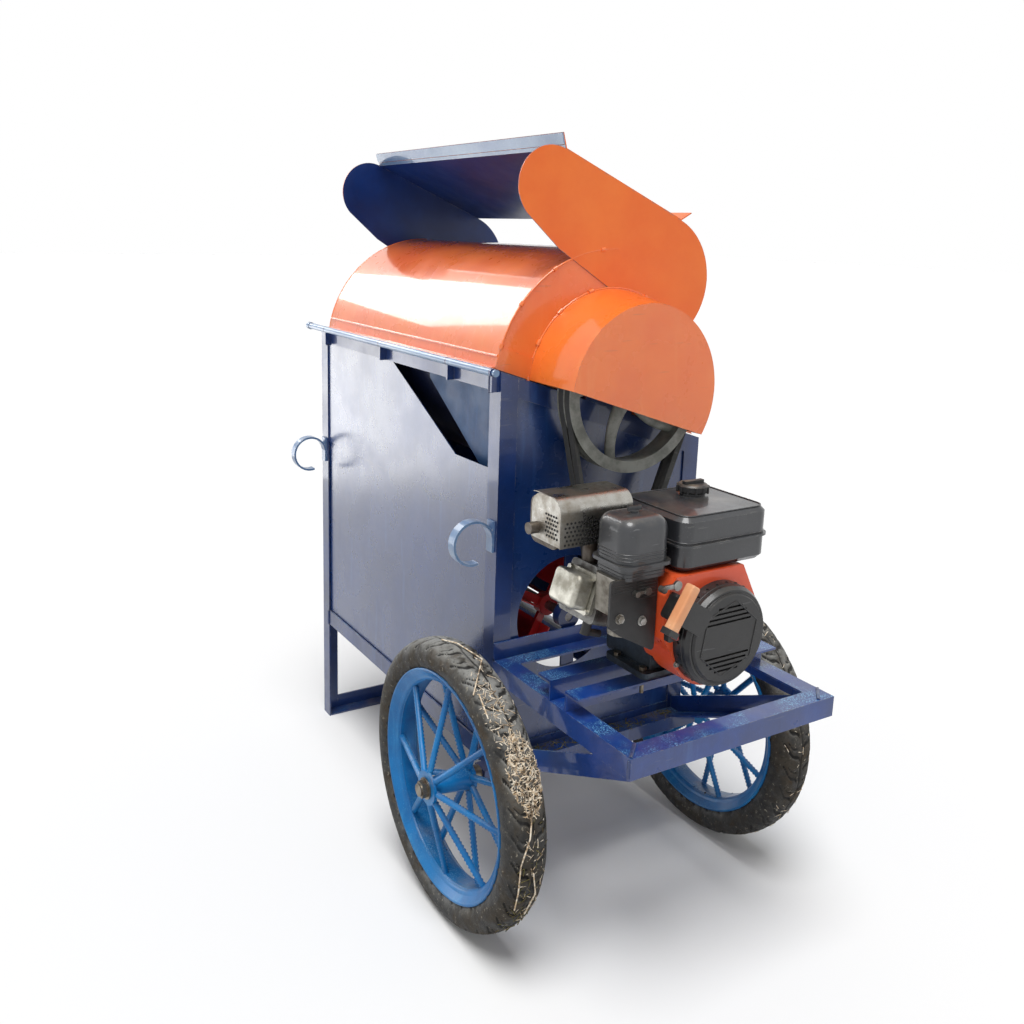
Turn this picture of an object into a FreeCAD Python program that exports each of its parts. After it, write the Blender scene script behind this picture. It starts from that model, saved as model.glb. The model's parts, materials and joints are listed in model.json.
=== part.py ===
import FreeCAD, Part
import os
from math import acos, asin, atan2, cos, degrees, radians, sin, sqrt, tan

# Engine-driven paddy thresher on two spoked wheels and a rear foot.
# Axes: x across the machine to the right, y along it to the rear, z up.
# The origin lies on the ground below the centre of the whole machine.
V = FreeCAD.Vector

# Body and platform
body_width = 515
body_length = 900
wall_height = 785
deck_step = 25
platform_length = 435
deck_rise = 200
rail_rise = 32
top_slope = 18.4
bar_leg = 40
bar_wall = 4
sheet = 2
running_gap = 0.3

# Side panels
window_length = 477
window_foot = 177
window_drop = 197
sill_rise = 108
seam_lap = 30
outlet_height = 110
intake_radius = 122

# Hinge of the cover
hinge_radius = 5
sleeve_wall = 2.7
hinge_out = 13
hinge_drop = 2
pin_overhang = 55
pin_front = 3

# Threshing drum
drum_off = 17.5
drum_rise = 46.48
edge_reach = 2
tooth_length = 44
drum_plate = 5
drum_inset = 70
drum_bars = 6
teeth_per_bar = 9
tooth_half = 5
shaft_radius = 17.5

# Belt drive
pulley_radius = 164
pulley_setback = 28
belt_width = 16
belt_depth = 10
spoke_count = 5
hub_radius = 30
engine_pulley_radius = 50

# Winnowing fan
fan_x = 190
fan_rise = 255
fan_radius = 110
fan_blades = 4
fan_shaft_radius = 10
fan_inset = 60
fan_pulley_radius = 60
drum_rear_pulley_radius = 60

# Cover, guard and feed hood
cover_front = 26
cover_back = 50
cover_gap = 3
cover_band = 42
hood_small_radius = 75
hood_big_radius = 134
hood_lip = 31

# Wheels
wheel_offset = 93
axle_back = 15
tyre_radius = 288
tyre_width = 84
tyre_depth = 58
spokes_per_side = 8
spoke_radius = 5
hub_outer = 63
hub_inner = 35
hub_small = 17
hub_large = 26
hub_flange = 34
rim_slope = 18
axle_radius = 12.5
beam_height = 30

# Engine
engine_x = 250
crank_rise = 106
case_half = 75
case_front = 270
case_rear = 140
cylinder_tilt = 18
shroud_radius = 103
shroud_depth = 80
recoil_depth = 38
tank_left = 160
tank_width = 217
tank_length = 192
tank_rise = 120
tank_height = 100
cleaner_base = 28
cleaner_height = 80
muffler_length = 156
muffler_height = 88

# Places that follow from the sizes
platform_width = body_width - deck_step
left = -platform_width / 2
right = left + body_width
platform_right = left + platform_width
front = -(body_length + pin_overhang - platform_length) / 2
rear = front + body_length
platform_front = front - platform_length
fall = tan(radians(top_slope))
slope_cos = cos(radians(top_slope))
slope_sin = sin(radians(top_slope))
axle_y = front - axle_back
axle_z = tyre_radius
rim_radius = tyre_radius - tyre_depth
rim_bed = rim_radius - 23
rim_width = tyre_width - 12
rail_top = axle_z + rail_rise
rail_bottom = rail_top - bar_leg
post_top_left = rail_top + wall_height
platform_top = rail_top + deck_rise
window_sill = post_top_left - window_drop
seam_height = window_sill - sill_rise
drum_x = body_width / 2 + drum_off
axis_x = left + drum_x
drum_z = post_top_left - drum_x * fall + drum_rise
cover_radius = drum_x + edge_reach
drum_tip_radius = cover_radius - 65
drum_plate_radius = drum_tip_radius - tooth_length - 3
groove_top = belt_width + 2
groove_pitch = groove_top + 2
groove_depth = belt_depth + 4
pulley_width = 2 * groove_pitch + 2
rear_pulley_width = groove_top + 6
fan_z = rail_top + fan_rise
crank_x = left + engine_x
crank_z = platform_top + bar_leg + crank_rise
mid_y = front - (case_front + case_rear) / 2
tank_bottom = crank_z + tank_rise
shroud_top = tank_bottom - 3
panel_out = bar_wall
panel_in = bar_wall + sheet
hinge_x = left - hinge_out
hinge_z = post_top_left - hinge_drop
cover_y0 = front + cover_front
cover_y1 = rear - cover_back
guard_rear_radius = pulley_radius + 34
guard_front_radius = guard_rear_radius - 21
guard_depth = cover_front + pulley_setback + pulley_width + 30
hood_small_x = axis_x - 159
hood_small_z = drum_z + cover_radius + 116
hood_big_x = axis_x + 119
hood_big_z = drum_z + drum_tip_radius


def box(x0, x1, y0, y1, z0, z1):
    return Part.makeBox(x1 - x0, y1 - y0, z1 - z0, V(x0, y0, z0))


def rod_x(x0, x1, y, z, radius):
    return Part.makeCylinder(radius, x1 - x0, V(x0, y, z), V(1, 0, 0))


def rod_y(x, y0, y1, z, radius):
    return Part.makeCylinder(radius, y1 - y0, V(x, y0, z), V(0, 1, 0))


def rod_z(x, y, z0, z1, radius):
    return Part.makeCylinder(radius, z1 - z0, V(x, y, z0), V(0, 0, 1))


def slab_xz(points, y0, y1):
    wire = Part.makePolygon([V(x, y0, z) for x, z in points + points[:1]])
    return Part.Face(wire).extrude(V(0, y1 - y0, 0))


def slab_yz(points, x0, x1):
    wire = Part.makePolygon([V(x0, y, z) for y, z in points + points[:1]])
    return Part.Face(wire).extrude(V(x1 - x0, 0, 0))


def turned_x(points, y, z):
    # outline of (x, radius) turned about an axis along x
    wire = Part.makePolygon([V(x, y, z + r) for x, r in points + points[:1]])
    return Part.Face(wire).revolve(V(0, y, z), V(1, 0, 0), 360)


def turned_y(points, x, z):
    # outline of (y, radius) turned about an axis along y
    wire = Part.makePolygon([V(x, y, z + r) for y, r in points + points[:1]])
    return Part.Face(wire).revolve(V(x, 0, z), V(0, 1, 0), 360)


def angle_bar(start, end, leg_a, leg_b, length_a=bar_leg, length_b=bar_leg):
    # rolled angle: two legs that leave the heel line from start to end
    corners = [
        start,
        start + leg_a * length_a,
        start + leg_a * length_a + leg_b * bar_wall,
        start + leg_a * bar_wall + leg_b * bar_wall,
        start + leg_b * length_b + leg_a * bar_wall,
        start + leg_b * length_b,
    ]
    return Part.Face(Part.makePolygon(corners + corners[:1])).extrude(end - start)


def top_z(x):
    return post_top_left - (x - left) * fall


def above_slope(lift, reach=400):
    # everything above the sloping top plane raised by lift
    x0 = left - reach
    x1 = right + reach
    rise = lift / slope_cos
    points = [(x0, top_z(x0) + rise), (x1, top_z(x1) + rise), (x1, 3000), (x0, 3000)]
    return slab_xz(points, platform_front - reach, rear + reach)


def hex_x(x0, x1, y, z, flats):
    r = flats / sqrt(3)
    points = [(y + r * cos(radians(60 * i)), z + r * sin(radians(60 * i))) for i in range(6)]
    return slab_yz(points, x0, x1)


def hex_y(x, y0, y1, z, flats):
    r = flats / sqrt(3)
    points = [(x + r * cos(radians(60 * i)), z + r * sin(radians(60 * i))) for i in range(6)]
    return slab_xz(points, y0, y1)


def hex_z(x, y, z0, z1, flats):
    r = flats / sqrt(3)
    points = [V(x + r * cos(radians(60 * i)), y + r * sin(radians(60 * i)), z0) for i in range(6)]
    return Part.Face(Part.makePolygon(points + points[:1])).extrude(V(0, 0, z1 - z0))


def polar(x, z, radius, angle):
    return x + radius * cos(radians(angle)), z + radius * sin(radians(angle))


def flat(point):
    # a point of the x-z plane as coordinates in space
    return point[0], 0, point[1]


def cut_by(shape, others):
    for other in others:
        shape = shape.cut(other)
    return shape


def rounded(shape, radius, direction=None):
    # fillets the long straight edges that run along one direction, or all edges
    edges = []
    for edge in shape.Edges:
        if direction is None:
            edges.append(edge)
        elif isinstance(edge.Curve, (Part.Line, Part.LineSegment)):
            if abs(edge.tangentAt(edge.FirstParameter).dot(direction)) > 0.99:
                edges.append(edge)
    return shape.makeFillet(radius, edges)


os.makedirs("parts", exist_ok=True)


def save(name, pieces):
    shape = pieces[0] if len(pieces) == 1 else Part.makeCompound(pieces)
    shape.exportStep("parts/" + name + ".step")


# Body frame: four angle posts, sloping top rails, level bottom rails and the foot
sky = above_slope(0)
posts = []
for x, sx in ((left, 1), (right, -1)):
    for y, sy, foot in ((front, 1, rail_bottom), (rear, -1, 0)):
        bar = angle_bar(V(x, y, foot), V(x, y, post_top_left + bar_leg), V(sx, 0, 0), V(0, sy, 0))
        posts.append(bar.cut(sky))
save("corner_posts", posts)

down = V(0, 0, -1)
left_rail = angle_bar(V(left, front, top_z(left)), V(left, rear, top_z(left)), down,
                      V(slope_cos, 0, -slope_sin))
right_rail = angle_bar(V(right, front, top_z(right)), V(right, rear, top_z(right)), down,
                       V(-slope_cos, 0, slope_sin))
side_rails = [cut_by(left_rail, posts), cut_by(right_rail, posts)]
end_rails = []
for y, sy in ((front, 1), (rear, -1)):
    bar = angle_bar(V(left, y, top_z(left)), V(right, y, top_z(right)), down, V(0, sy, 0))
    end_rails.append(cut_by(bar, posts + side_rails))

up = V(0, 0, 1)
low_sides = []
for x, sx in ((left, 1), (right, -1)):
    bar = angle_bar(V(x, front, rail_bottom), V(x, rear, rail_bottom), up, V(sx, 0, 0))
    low_sides.append(cut_by(bar, posts))
low_ends = []
for y, sy in ((front, 1), (rear, -1)):
    bar = angle_bar(V(left, y, rail_bottom), V(right, y, rail_bottom), up, V(0, sy, 0))
    low_ends.append(cut_by(bar, posts + low_sides))
save("bottom_rails", low_sides + low_ends)

foot = angle_bar(V(left, rear, 0), V(right, rear, 0), up, V(0, -1, 0))
save("foot_bar", [cut_by(foot, posts)])

# Engine platform: three outer beams, the cross member and two raised rails
front_beam = angle_bar(V(left, platform_front, platform_top),
                       V(platform_right, platform_front, platform_top), down, V(0, 1, 0))
side_beams = []
for x, sx in ((left, 1), (platform_right, -1)):
    bar = angle_bar(V(x, platform_front, platform_top), V(x, front, platform_top), down,
                    V(sx, 0, 0))
    side_beams.append(bar.cut(front_beam))
cross = angle_bar(V(left, front, platform_top - bar_wall),
                  V(platform_right, front, platform_top - bar_wall), up, V(0, -1, 0))
cross = cut_by(cross, side_beams)
save("platform_frame", [front_beam] + side_beams + cross.Solids)

rail_a = front - 200
rail_b = front - 246
mount_top = platform_top + bar_leg
bolt_x = case_half + 9
bolt_y = 37.75
bolt_mid = (rail_a + rail_b) / 2
rails = [
    angle_bar(V(left, rail_a, mount_top), V(platform_right, rail_a, mount_top), down,
              V(0, 1, 0)),
    angle_bar(V(left, rail_b, mount_top), V(platform_right, rail_b, mount_top), down,
              V(0, -1, 0)),
]
bolt_places = [(crank_x + i * bolt_x, bolt_mid + j * bolt_y) for i in (-1, 1) for j in (-1, 1)]
bolt_holes = [rod_z(x, y, platform_top, mount_top + 30, 4.3) for x, y in bolt_places]
rails = [cut_by(bar, bolt_holes) for bar in rails]
save("engine_rails", rails)

# Axle beam across the front, closed at its ends, with a stub axle on each side
beam_left = left - wheel_offset + hub_inner + 22
beam_right = platform_right + wheel_offset - hub_inner - 22
beam_z0 = axle_z - beam_height / 2
beam_z1 = axle_z + beam_height / 2
beam = box(beam_left, beam_right, front - bar_leg, front, beam_z0, beam_z1)
beam = beam.cut(box(beam_left + 5, beam_right - 5, front - bar_leg + 3, front - 3,
                    beam_z0 + 3, beam_z1 - 3))
save("axle_beam", [beam])

# Struts from the platform's front corners down to the foot of the front posts
strut_low = beam_z1 + 1
run = bar_leg - platform_length
climb = platform_top - bar_leg - strut_low
length = sqrt(run * run + climb * climb)
across = V(0, climb / length, -run / length)
struts = []
for x, sx in ((left, 1), (platform_right, -1)):
    start = V(x, front, strut_low - bar_leg * climb / -run)
    toward = V(0, run, climb)
    bar = angle_bar(start - toward * 0.2, start + toward * 1.4, across, V(sx, 0, 0))
    bar = bar.common(box(x - 50, x + 50, platform_front, front, 0, platform_top - bar_leg))
    struts.append(cut_by(bar, [beam, box(x - 60, x + 60, platform_front - 1, front, 0, beam_z1)]))
save("platform_struts", struts)


def stub_axle(side):
    # rod, thrust collar, washer and nut, built on the right and mirrored to the left
    inner = beam_right
    hub_start = platform_right + wheel_offset - hub_inner
    hub_end = platform_right + wheel_offset + hub_outer
    shape = rod_x(inner, hub_end + 18, axle_y, axle_z, axle_radius)
    shape = shape.fuse(rod_x(inner, hub_start - 1, axle_y, axle_z, axle_radius + 5))
    shape = shape.fuse(rod_x(hub_end + 1, hub_end + 3.5, axle_y, axle_z, axle_radius + 9))
    shape = shape.fuse(hex_x(hub_end + 3.5, hub_end + 14, axle_y, axle_z, 30))
    shape = shape.removeSplitter()
    return shape if side > 0 else shape.mirror(V(0, 0, 0), V(1, 0, 0))


save("stub_axles", [stub_axle(-1), stub_axle(1)])

# Sheet walls behind the posts
y_in0 = front + bar_wall
y_in1 = rear - bar_wall
top_left_sheet = top_z(left + panel_in) - bar_wall / slope_cos - 1
outline = [
    (y_in0, seam_height),
    (y_in1, seam_height),
    (y_in1, top_left_sheet),
    (front + window_length + bar_leg, top_left_sheet),
    (front + window_length, post_top_left - bar_leg),
    (front + window_foot, window_sill),
    (y_in0, window_sill),
]
left_upper = slab_yz(outline, left + panel_out, left + panel_in)
save("left_panel_upper", [left_upper])

low_sheet = rail_bottom + bar_wall
left_lower = box(left + panel_in, left + panel_in + sheet, y_in0, y_in1, low_sheet,
                 seam_height + seam_lap)
save("left_panel_lower", [left_lower])

right_top = top_z(right - panel_in) - bar_wall / slope_cos - 1
right_panel = box(right - panel_in, right - panel_out, y_in0, y_in1,
                  rail_bottom + outlet_height, right_top)
save("right_panel", [right_panel])


def end_panel(y0, y1, hole):
    x0 = left + panel_in + sheet
    x1 = right - panel_in
    points = [(x0, low_sheet), (x1, low_sheet), (x1, top_z(x1) - bar_wall),
              (x0, top_z(x0) - bar_wall)]
    shape = slab_xz(points, y0, y1)
    shape = shape.cut(rod_y(left + hole[0], y0 - 1, y1 + 1, hole[1], hole[2]))
    return cut_by(shape, side_rails)


save("front_panel", [end_panel(front + panel_out, front + panel_in,
                               (fan_x - 10, fan_z + 15, intake_radius))])
save("rear_panel", [end_panel(rear - panel_in, rear - panel_out,
                              (fan_x, fan_z, fan_shaft_radius + 12))])

# Straw baffle that hangs from the left rail behind the window
baffle_x = left + 30
baffle_top = top_z(baffle_x + sheet) - bar_wall / slope_cos - 0.5
baffle_back = front + window_length - 133
baffle = slab_yz([(front + panel_in, baffle_top), (baffle_back + 1, baffle_top),
                  (baffle_back - 1, post_top_left - bar_leg - 19),
                  (front + window_foot - 58, window_sill - 13),
                  (front + panel_in, window_sill - 38)], baffle_x, baffle_x + sheet)
save("straw_baffle", [cut_by(baffle, side_rails + end_rails)])

# Concave: curved side bars and square grate rods below the drum
concave_radius = drum_tip_radius + 17
concave_bar = 6
concave_from = 186
concave_to = 324
concave_y0 = front + panel_in
concave_y1 = rear - panel_in


def arc_band(x, z, inner, outer, a0, a1, y0, y1):
    # flat bar bent to an arc about an axis along y
    p = [polar(x, z, outer, a) for a in (a0, (a0 + a1) / 2, a1)]
    q = [polar(x, z, inner, a) for a in (a1, (a0 + a1) / 2, a0)]
    p = [V(a, y0, b) for a, b in p]
    q = [V(a, y0, b) for a, b in q]
    edges = [Part.Arc(*p).toShape(), Part.makeLine(p[2], q[0]), Part.Arc(*q).toShape(),
             Part.makeLine(q[2], p[0])]
    return Part.Face(Part.Wire(edges)).extrude(V(0, y1 - y0, 0))


concave_bars = []
ribs = 4
rib_depth = 20
for i in range(ribs):
    y = concave_y0 + i * (concave_y1 - concave_y0 - concave_bar) / (ribs - 1)
    concave_bars.append(arc_band(axis_x, drum_z, concave_radius - rib_depth + 8, concave_radius,
                                 concave_from, concave_to, y, y + concave_bar))
grate_rods = 16
grate_half = 4
grate = []
for i in range(grate_rods):
    a = concave_from + 3 + i * (concave_to - concave_from - 6) / (grate_rods - 1)
    grate_rod = box(axis_x + concave_radius - 6 - grate_half, axis_x + concave_radius - 6 + grate_half,
                    concave_y0 + concave_bar, concave_y1 - concave_bar, drum_z - grate_half,
                    drum_z + grate_half)
    grate_rod.rotate(V(axis_x, 0, drum_z), V(0, 1, 0), -a)
    grate.append(grate_rod)
concave_mid = [cut_by(bar, grate) for bar in concave_bars[1:-1]]
concave_ends = [concave_bars[0], concave_bars[-1]]
apron = arc_band(axis_x, drum_z, concave_radius, concave_radius + sheet, 182, 232,
                 concave_y0, concave_y1)
save("concave", concave_ends + concave_mid + grate + [apron])

# Grain chute that slopes to the outlet in the right side
chute_low = rail_top + 4
chute_top = chute_low + 131
chute_x0 = left + 300
chute_x1 = right + 6
drop = (chute_top - chute_low) / (chute_x1 - chute_x0)
chute = slab_xz([(chute_x0, chute_top), (chute_x1, chute_low), (chute_x1, chute_low + sheet),
                 (chute_x0, chute_top + sheet)], front + panel_in, rear - panel_in)
chute_cheeks = []
for y in (front + panel_in, rear - panel_in - sheet):
    points = [(chute_x0, chute_top + sheet), (right - panel_in, chute_top + sheet -
              drop * (right - panel_in - chute_x0)),
              (right - panel_in, chute_top + 40 - drop * (right - panel_in - chute_x0)),
              (chute_x0, chute_top + 60)]
    chute_cheeks.append(slab_xz(points, y, y + sheet))
save("grain_chute", [cut_by(chute, low_sides + low_ends + posts)] + chute_cheeks)

# Two flat-bar hooks on the left posts
hook_radius = 46
hook_bar = 5
hook_width = 22
hook_z = seam_height - 32


def hook(y):
    x = left - hook_radius
    band = arc_band(x, hook_z, hook_radius - hook_bar, hook_radius, 8, 285, y, y + hook_width)
    tab = box(left - hook_bar, left, y, y + hook_width, hook_z - 24, hook_z + 40)
    return tab.fuse(band).removeSplitter()


save("carry_hooks", [hook(front + 8), hook(rear - 8 - hook_width)])

# Hinge rod on lugs along the left rail
rod_y0 = front - pin_front
rod_y1 = rear + pin_overhang
hinge_rod = rod_y(hinge_x, rod_y0, rod_y1, hinge_z, hinge_radius)
sleeve_radius = hinge_radius + running_gap + sleeve_wall
lugs = []
lug_wall = 6
lug_first = front + 8
lug_last = rear - 60 - lug_wall
lug_places = [lug_first, lug_first + (lug_last - lug_first) * 0.21,
              lug_first + (lug_last - lug_first) * 0.6, lug_last]
hinge_rod = hinge_rod.fuse([
    rod_y(hinge_x, rod_y0, rod_y0 + 5, hinge_z, sleeve_radius - 1),
    rod_y(hinge_x, lug_last + lug_wall, rod_y1, hinge_z, sleeve_radius),
    rod_y(hinge_x, rod_y1 - 14, rod_y1, hinge_z, sleeve_radius + 1.5),
])
for y in lug_places:
    tab = box(hinge_x - 3, left, y, y + lug_wall, post_top_left - bar_leg, hinge_z)
    ring = rod_y(hinge_x, y, y + lug_wall, hinge_z, sleeve_radius)
    lug = tab.fuse(ring).cut(rod_y(hinge_x, y, y + lug_wall, hinge_z, hinge_radius))
    lugs.append(lug.removeSplitter())
save("hinge_rod", [hinge_rod.removeSplitter()])
save("top_rails", side_rails + end_rails + lugs)

# Bearings of the drum: pillow blocks on the sloping end rails
bearing_width = 21
bearing_half = 62
bearing_foot = 13
bearing_dome = 36
bearing_lift = (drum_z - top_z(axis_x)) * slope_cos


def tilted(u, w):
    # point at u along the slope and w square to it, from the drum axis
    return axis_x + u * slope_cos + w * slope_sin, drum_z - u * slope_sin + w * slope_cos


def pillow_block(y0):
    y1 = y0 + bearing_width
    foot_points = [tilted(-bearing_half, -bearing_lift), tilted(bearing_half, -bearing_lift),
                   tilted(bearing_half, bearing_foot - bearing_lift),
                   tilted(-bearing_half, bearing_foot - bearing_lift)]
    web_points = [tilted(-bearing_dome, -bearing_lift), tilted(bearing_dome, -bearing_lift),
                  tilted(bearing_dome, 0), tilted(-bearing_dome, 0)]
    shape = slab_xz(foot_points, y0, y1).fuse(slab_xz(web_points, y0, y1))
    shape = shape.fuse(rod_y(axis_x, y0, y1, drum_z, bearing_dome)).removeSplitter()
    for side in (-1, 1):
        x, z = tilted(side * (bearing_half - 12), bearing_foot - bearing_lift)
        head = Part.makeCylinder(8, 7, V(x, (y0 + y1) / 2, z), V(slope_sin, 0, slope_cos))
        shape = shape.fuse(head)
    return shape.cut(rod_y(axis_x, y0, y1, drum_z, shaft_radius + running_gap))


save("drum_bearings", [pillow_block(front), pillow_block(rear - bearing_width)])

# Threshing drum: shaft, two end discs and a middle disc, bars and square teeth
shaft_y0 = front - pulley_setback - pulley_width - 12
rear_pulley_y0 = rear + 12
shaft_y1 = rear_pulley_y0 + rear_pulley_width + 6
drum_shaft = rod_y(axis_x, shaft_y0, shaft_y1, drum_z, shaft_radius)

drum_y0 = front + drum_inset
drum_y1 = rear - drum_inset
bar_width = 44
bar_thick = 8
bar_face = drum_plate_radius + 3
drum_slots = []
bars = []
teeth = []
tooth_step = (drum_y1 - drum_y0) / teeth_per_bar
for i in range(drum_bars):
    turn = 360 / drum_bars * i + 15
    bar = box(axis_x - bar_width / 2, axis_x + bar_width / 2, drum_y0, drum_y1,
              drum_z + bar_face - bar_thick, drum_z + bar_face)
    bar.rotate(V(axis_x, 0, drum_z), V(0, 1, 0), turn)
    bars.append(bar)
    for j in range(teeth_per_bar):
        y = drum_y0 + tooth_step * (j + 0.25 + 0.5 * (i % 2))
        tooth = box(axis_x - tooth_half, axis_x + tooth_half, y - tooth_half, y + tooth_half,
                    drum_z + bar_face, drum_z + drum_tip_radius)
        tooth = tooth.makeChamfer(tooth_half / 2, [e for e in tooth.Edges
                                                   if e.BoundBox.ZMin > drum_z + drum_tip_radius - 1])
        tooth.rotate(V(axis_x, 0, drum_z), V(0, 1, 0), turn)
        teeth.append(tooth)
discs = []
for y in (drum_y0, (drum_y0 + drum_y1 - drum_plate) / 2, drum_y1 - drum_plate):
    disc = rod_y(axis_x, y, y + drum_plate, drum_z, drum_plate_radius)
    boss = rod_y(axis_x, y - 14, y + drum_plate + 14, drum_z, shaft_radius + 14)
    disc = disc.fuse(boss).removeSplitter()
    for i in range(drum_bars):
        x, z = polar(axis_x, drum_z, drum_plate_radius * 0.576, 360 / drum_bars * i + 45)
        disc = disc.cut(rod_y(x, y, y + drum_plate, z, drum_plate_radius * 0.145))
    discs.append(cut_by(disc, bars + [rod_y(axis_x, y - 15, y + 30, drum_z, shaft_radius)]))
save("drum_discs", discs)
save("drum_bars", bars)
save("drum_teeth", teeth)

# Grooved pulleys
groove_angle = 19


def groove_outline(y_mid, radius):
    low = groove_top / 2 - groove_depth * tan(radians(groove_angle))
    return [(y_mid - groove_top / 2, radius), (y_mid - low, radius - groove_depth),
            (y_mid + low, radius - groove_depth), (y_mid + groove_top / 2, radius)]


def pulley_rim(y0, width, radius, bore, grooves):
    mid = y0 + width / 2
    offsets = [groove_pitch * (i - (grooves - 1) / 2) for i in range(grooves)]
    points = [(y0, bore), (y0, radius)]
    for offset in offsets:
        points += groove_outline(mid + offset, radius)
    return points + [(y0 + width, radius), (y0 + width, bore)]


pulley_y0 = front - pulley_setback - pulley_width
pulley_mid = pulley_y0 + pulley_width / 2
rim_bore = pulley_radius - groove_depth - 9
rim = turned_y(pulley_rim(pulley_y0, pulley_width, pulley_radius, rim_bore, 2), axis_x, drum_z)
hub = rod_y(axis_x, pulley_y0 - 4, pulley_y0 + pulley_width + 6, drum_z, hub_radius)


def curved_spoke(turn):
    # cast spoke of oval section that tapers and sweeps back towards the rim
    sections = []
    stations = ((hub_radius - 6, 0, 19, 10), (rim_bore * 0.43, 3, 16, 8.5),
                (rim_bore * 0.67, 9, 13.5, 7.5), (rim_bore + 4, 19, 12, 6.5))
    for radius, sweep, wide, thick in stations:
        x, z = polar(axis_x, drum_z, radius, turn + sweep)
        heading = radians(turn + sweep + 22 * radius / rim_bore)
        oval = Part.Ellipse(V(0, 0, 0), wide, thick).toShape()
        oval.rotate(V(0, 0, 0), V(0, 1, 0), 90 - degrees(heading))
        oval.translate(V(x, pulley_mid, z))
        sections.append(Part.Wire([oval]))
    return Part.makeLoft(sections, True, False)


web = hub
for i in range(spoke_count):
    web = web.fuse(curved_spoke(90 + 360 / spoke_count * i))
web = web.cut(rod_y(axis_x, pulley_y0 - 5, pulley_y0 + pulley_width + 7, drum_z, shaft_radius))
keep = rod_y(axis_x, pulley_y0 - 5, pulley_y0 + pulley_width + 7, drum_z, rim_bore + 1)
pulley = rim.fuse(web.common(keep)).removeSplitter()
save("drum_pulley", [pulley])

stub_y0 = front - case_rear
small_pulley = turned_y(pulley_rim(pulley_y0, pulley_width, engine_pulley_radius, 0.0, 2),
                        crank_x, crank_z)
boss = rod_y(crank_x, pulley_y0 - 12, pulley_y0, crank_z, 26)
nut = hex_y(crank_x, pulley_y0 + pulley_width, pulley_y0 + pulley_width + 9, crank_z, 24)
stub = rod_y(crank_x, stub_y0 + running_gap, pulley_y0, crank_z, 12)
save("engine_pulley", [small_pulley.fuse([boss, nut, stub]).removeSplitter()])


def belt(x0, z0, r0, x1, z1, r1, y_mid):
    # closed V-belt round two pulleys; r0 and r1 are the radii of its outer face
    gap = sqrt((x1 - x0) ** 2 + (z1 - z0) ** 2)
    lie = degrees(atan2(z1 - z0, x1 - x0))
    open_angle = degrees(acos((r0 - r1) / gap))
    a = [V(*flat(polar(x0, z0, r0, lie + open_angle))), V(*flat(polar(x0, z0, r0, lie + 180))),
         V(*flat(polar(x0, z0, r0, lie - open_angle)))]
    b = [V(*flat(polar(x1, z1, r1, lie - open_angle))), V(*flat(polar(x1, z1, r1, lie))),
         V(*flat(polar(x1, z1, r1, lie + open_angle)))]
    path = Part.Wire([Part.Arc(*a).toShape(), Part.makeLine(a[2], b[0]), Part.Arc(*b).toShape(),
                      Part.makeLine(b[2], a[0])])
    path.translate(V(0, y_mid, 0))
    start = a[0] + V(0, y_mid, 0)
    inward = V(x0, y_mid, z0) - start
    inward.normalize()
    half = belt_width / 2
    low = half - belt_depth * tan(radians(groove_angle))
    side = V(0, 1, 0)
    corners = [start - side * half, start + side * half, start + inward * belt_depth + side * low,
               start + inward * belt_depth - side * low]
    profile = Part.makePolygon(corners + corners[:1])
    return path.makePipeShell([profile], True, False)


belts = []
for offset in (-groove_pitch / 2, groove_pitch / 2):
    belts.append(belt(axis_x, drum_z, pulley_radius - 1, crank_x, crank_z,
                      engine_pulley_radius - 1, pulley_mid + offset))

# Winnowing fan with its bearings and belt at the rear
shaft_x = left + fan_x
fan_y0 = front + fan_inset
fan_y1 = rear - fan_inset
strap_y = front + panel_in
strap = box(shaft_x - 16, shaft_x + 16, strap_y, strap_y + 5, fan_z - intake_radius - 26,
            fan_z + intake_radius + 40)
strap = strap.fuse(rod_y(shaft_x, strap_y, strap_y + 22, fan_z, 27)).removeSplitter()
flange = box(shaft_x - 40, shaft_x + 40, rear - panel_out, rear + 2, fan_z - 40, fan_z + 40)
flange = rounded(flange, 12, V(0, 1, 0))
flange = flange.fuse(rod_y(shaft_x, rear, rear + 8, fan_z, 27)).removeSplitter()
fan_bore = rod_y(shaft_x, front - 1, rear + 20, fan_z, fan_shaft_radius + running_gap)
save("fan_bearings", [strap.cut(fan_bore), flange.cut(fan_bore)])

fan_shaft_y1 = rear_pulley_y0 + rear_pulley_width + 5
fan_shaft = rod_y(shaft_x, strap_y + 2, fan_shaft_y1, fan_z, fan_shaft_radius)

rotor = []
core = rod_y(shaft_x, front, rear, fan_z, fan_shaft_radius)
spiders = []
for y in (fan_y0 + 30, (fan_y0 + fan_y1) / 2, fan_y1 - 38):
    spider = rod_y(shaft_x, y - 8, y + 16, fan_z, 24)
    for i in range(fan_blades):
        arm = box(shaft_x, shaft_x + fan_radius - 12, y, y + 8, fan_z - 9, fan_z + 9)
        arm.rotate(V(shaft_x, 0, fan_z), V(0, 1, 0), 360 / fan_blades * i + 28)
        spider = spider.fuse(arm)
    spiders.append(spider.removeSplitter())
for i in range(fan_blades):
    blade = box(shaft_x + 42, shaft_x + fan_radius, fan_y0, fan_y1, fan_z + 9, fan_z + 12)
    blade.rotate(V(shaft_x, 0, fan_z), V(0, 1, 0), 360 / fan_blades * i + 28)
    rotor.append(blade)
spiders = [cut_by(spider, rotor + [core]) for spider in spiders]
save("fan_rotor", spiders + rotor)


def rear_pulley(x, z, radius):
    outline = pulley_rim(rear_pulley_y0, rear_pulley_width, radius, 0.0, 1)
    return turned_y(outline, x, z)


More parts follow.
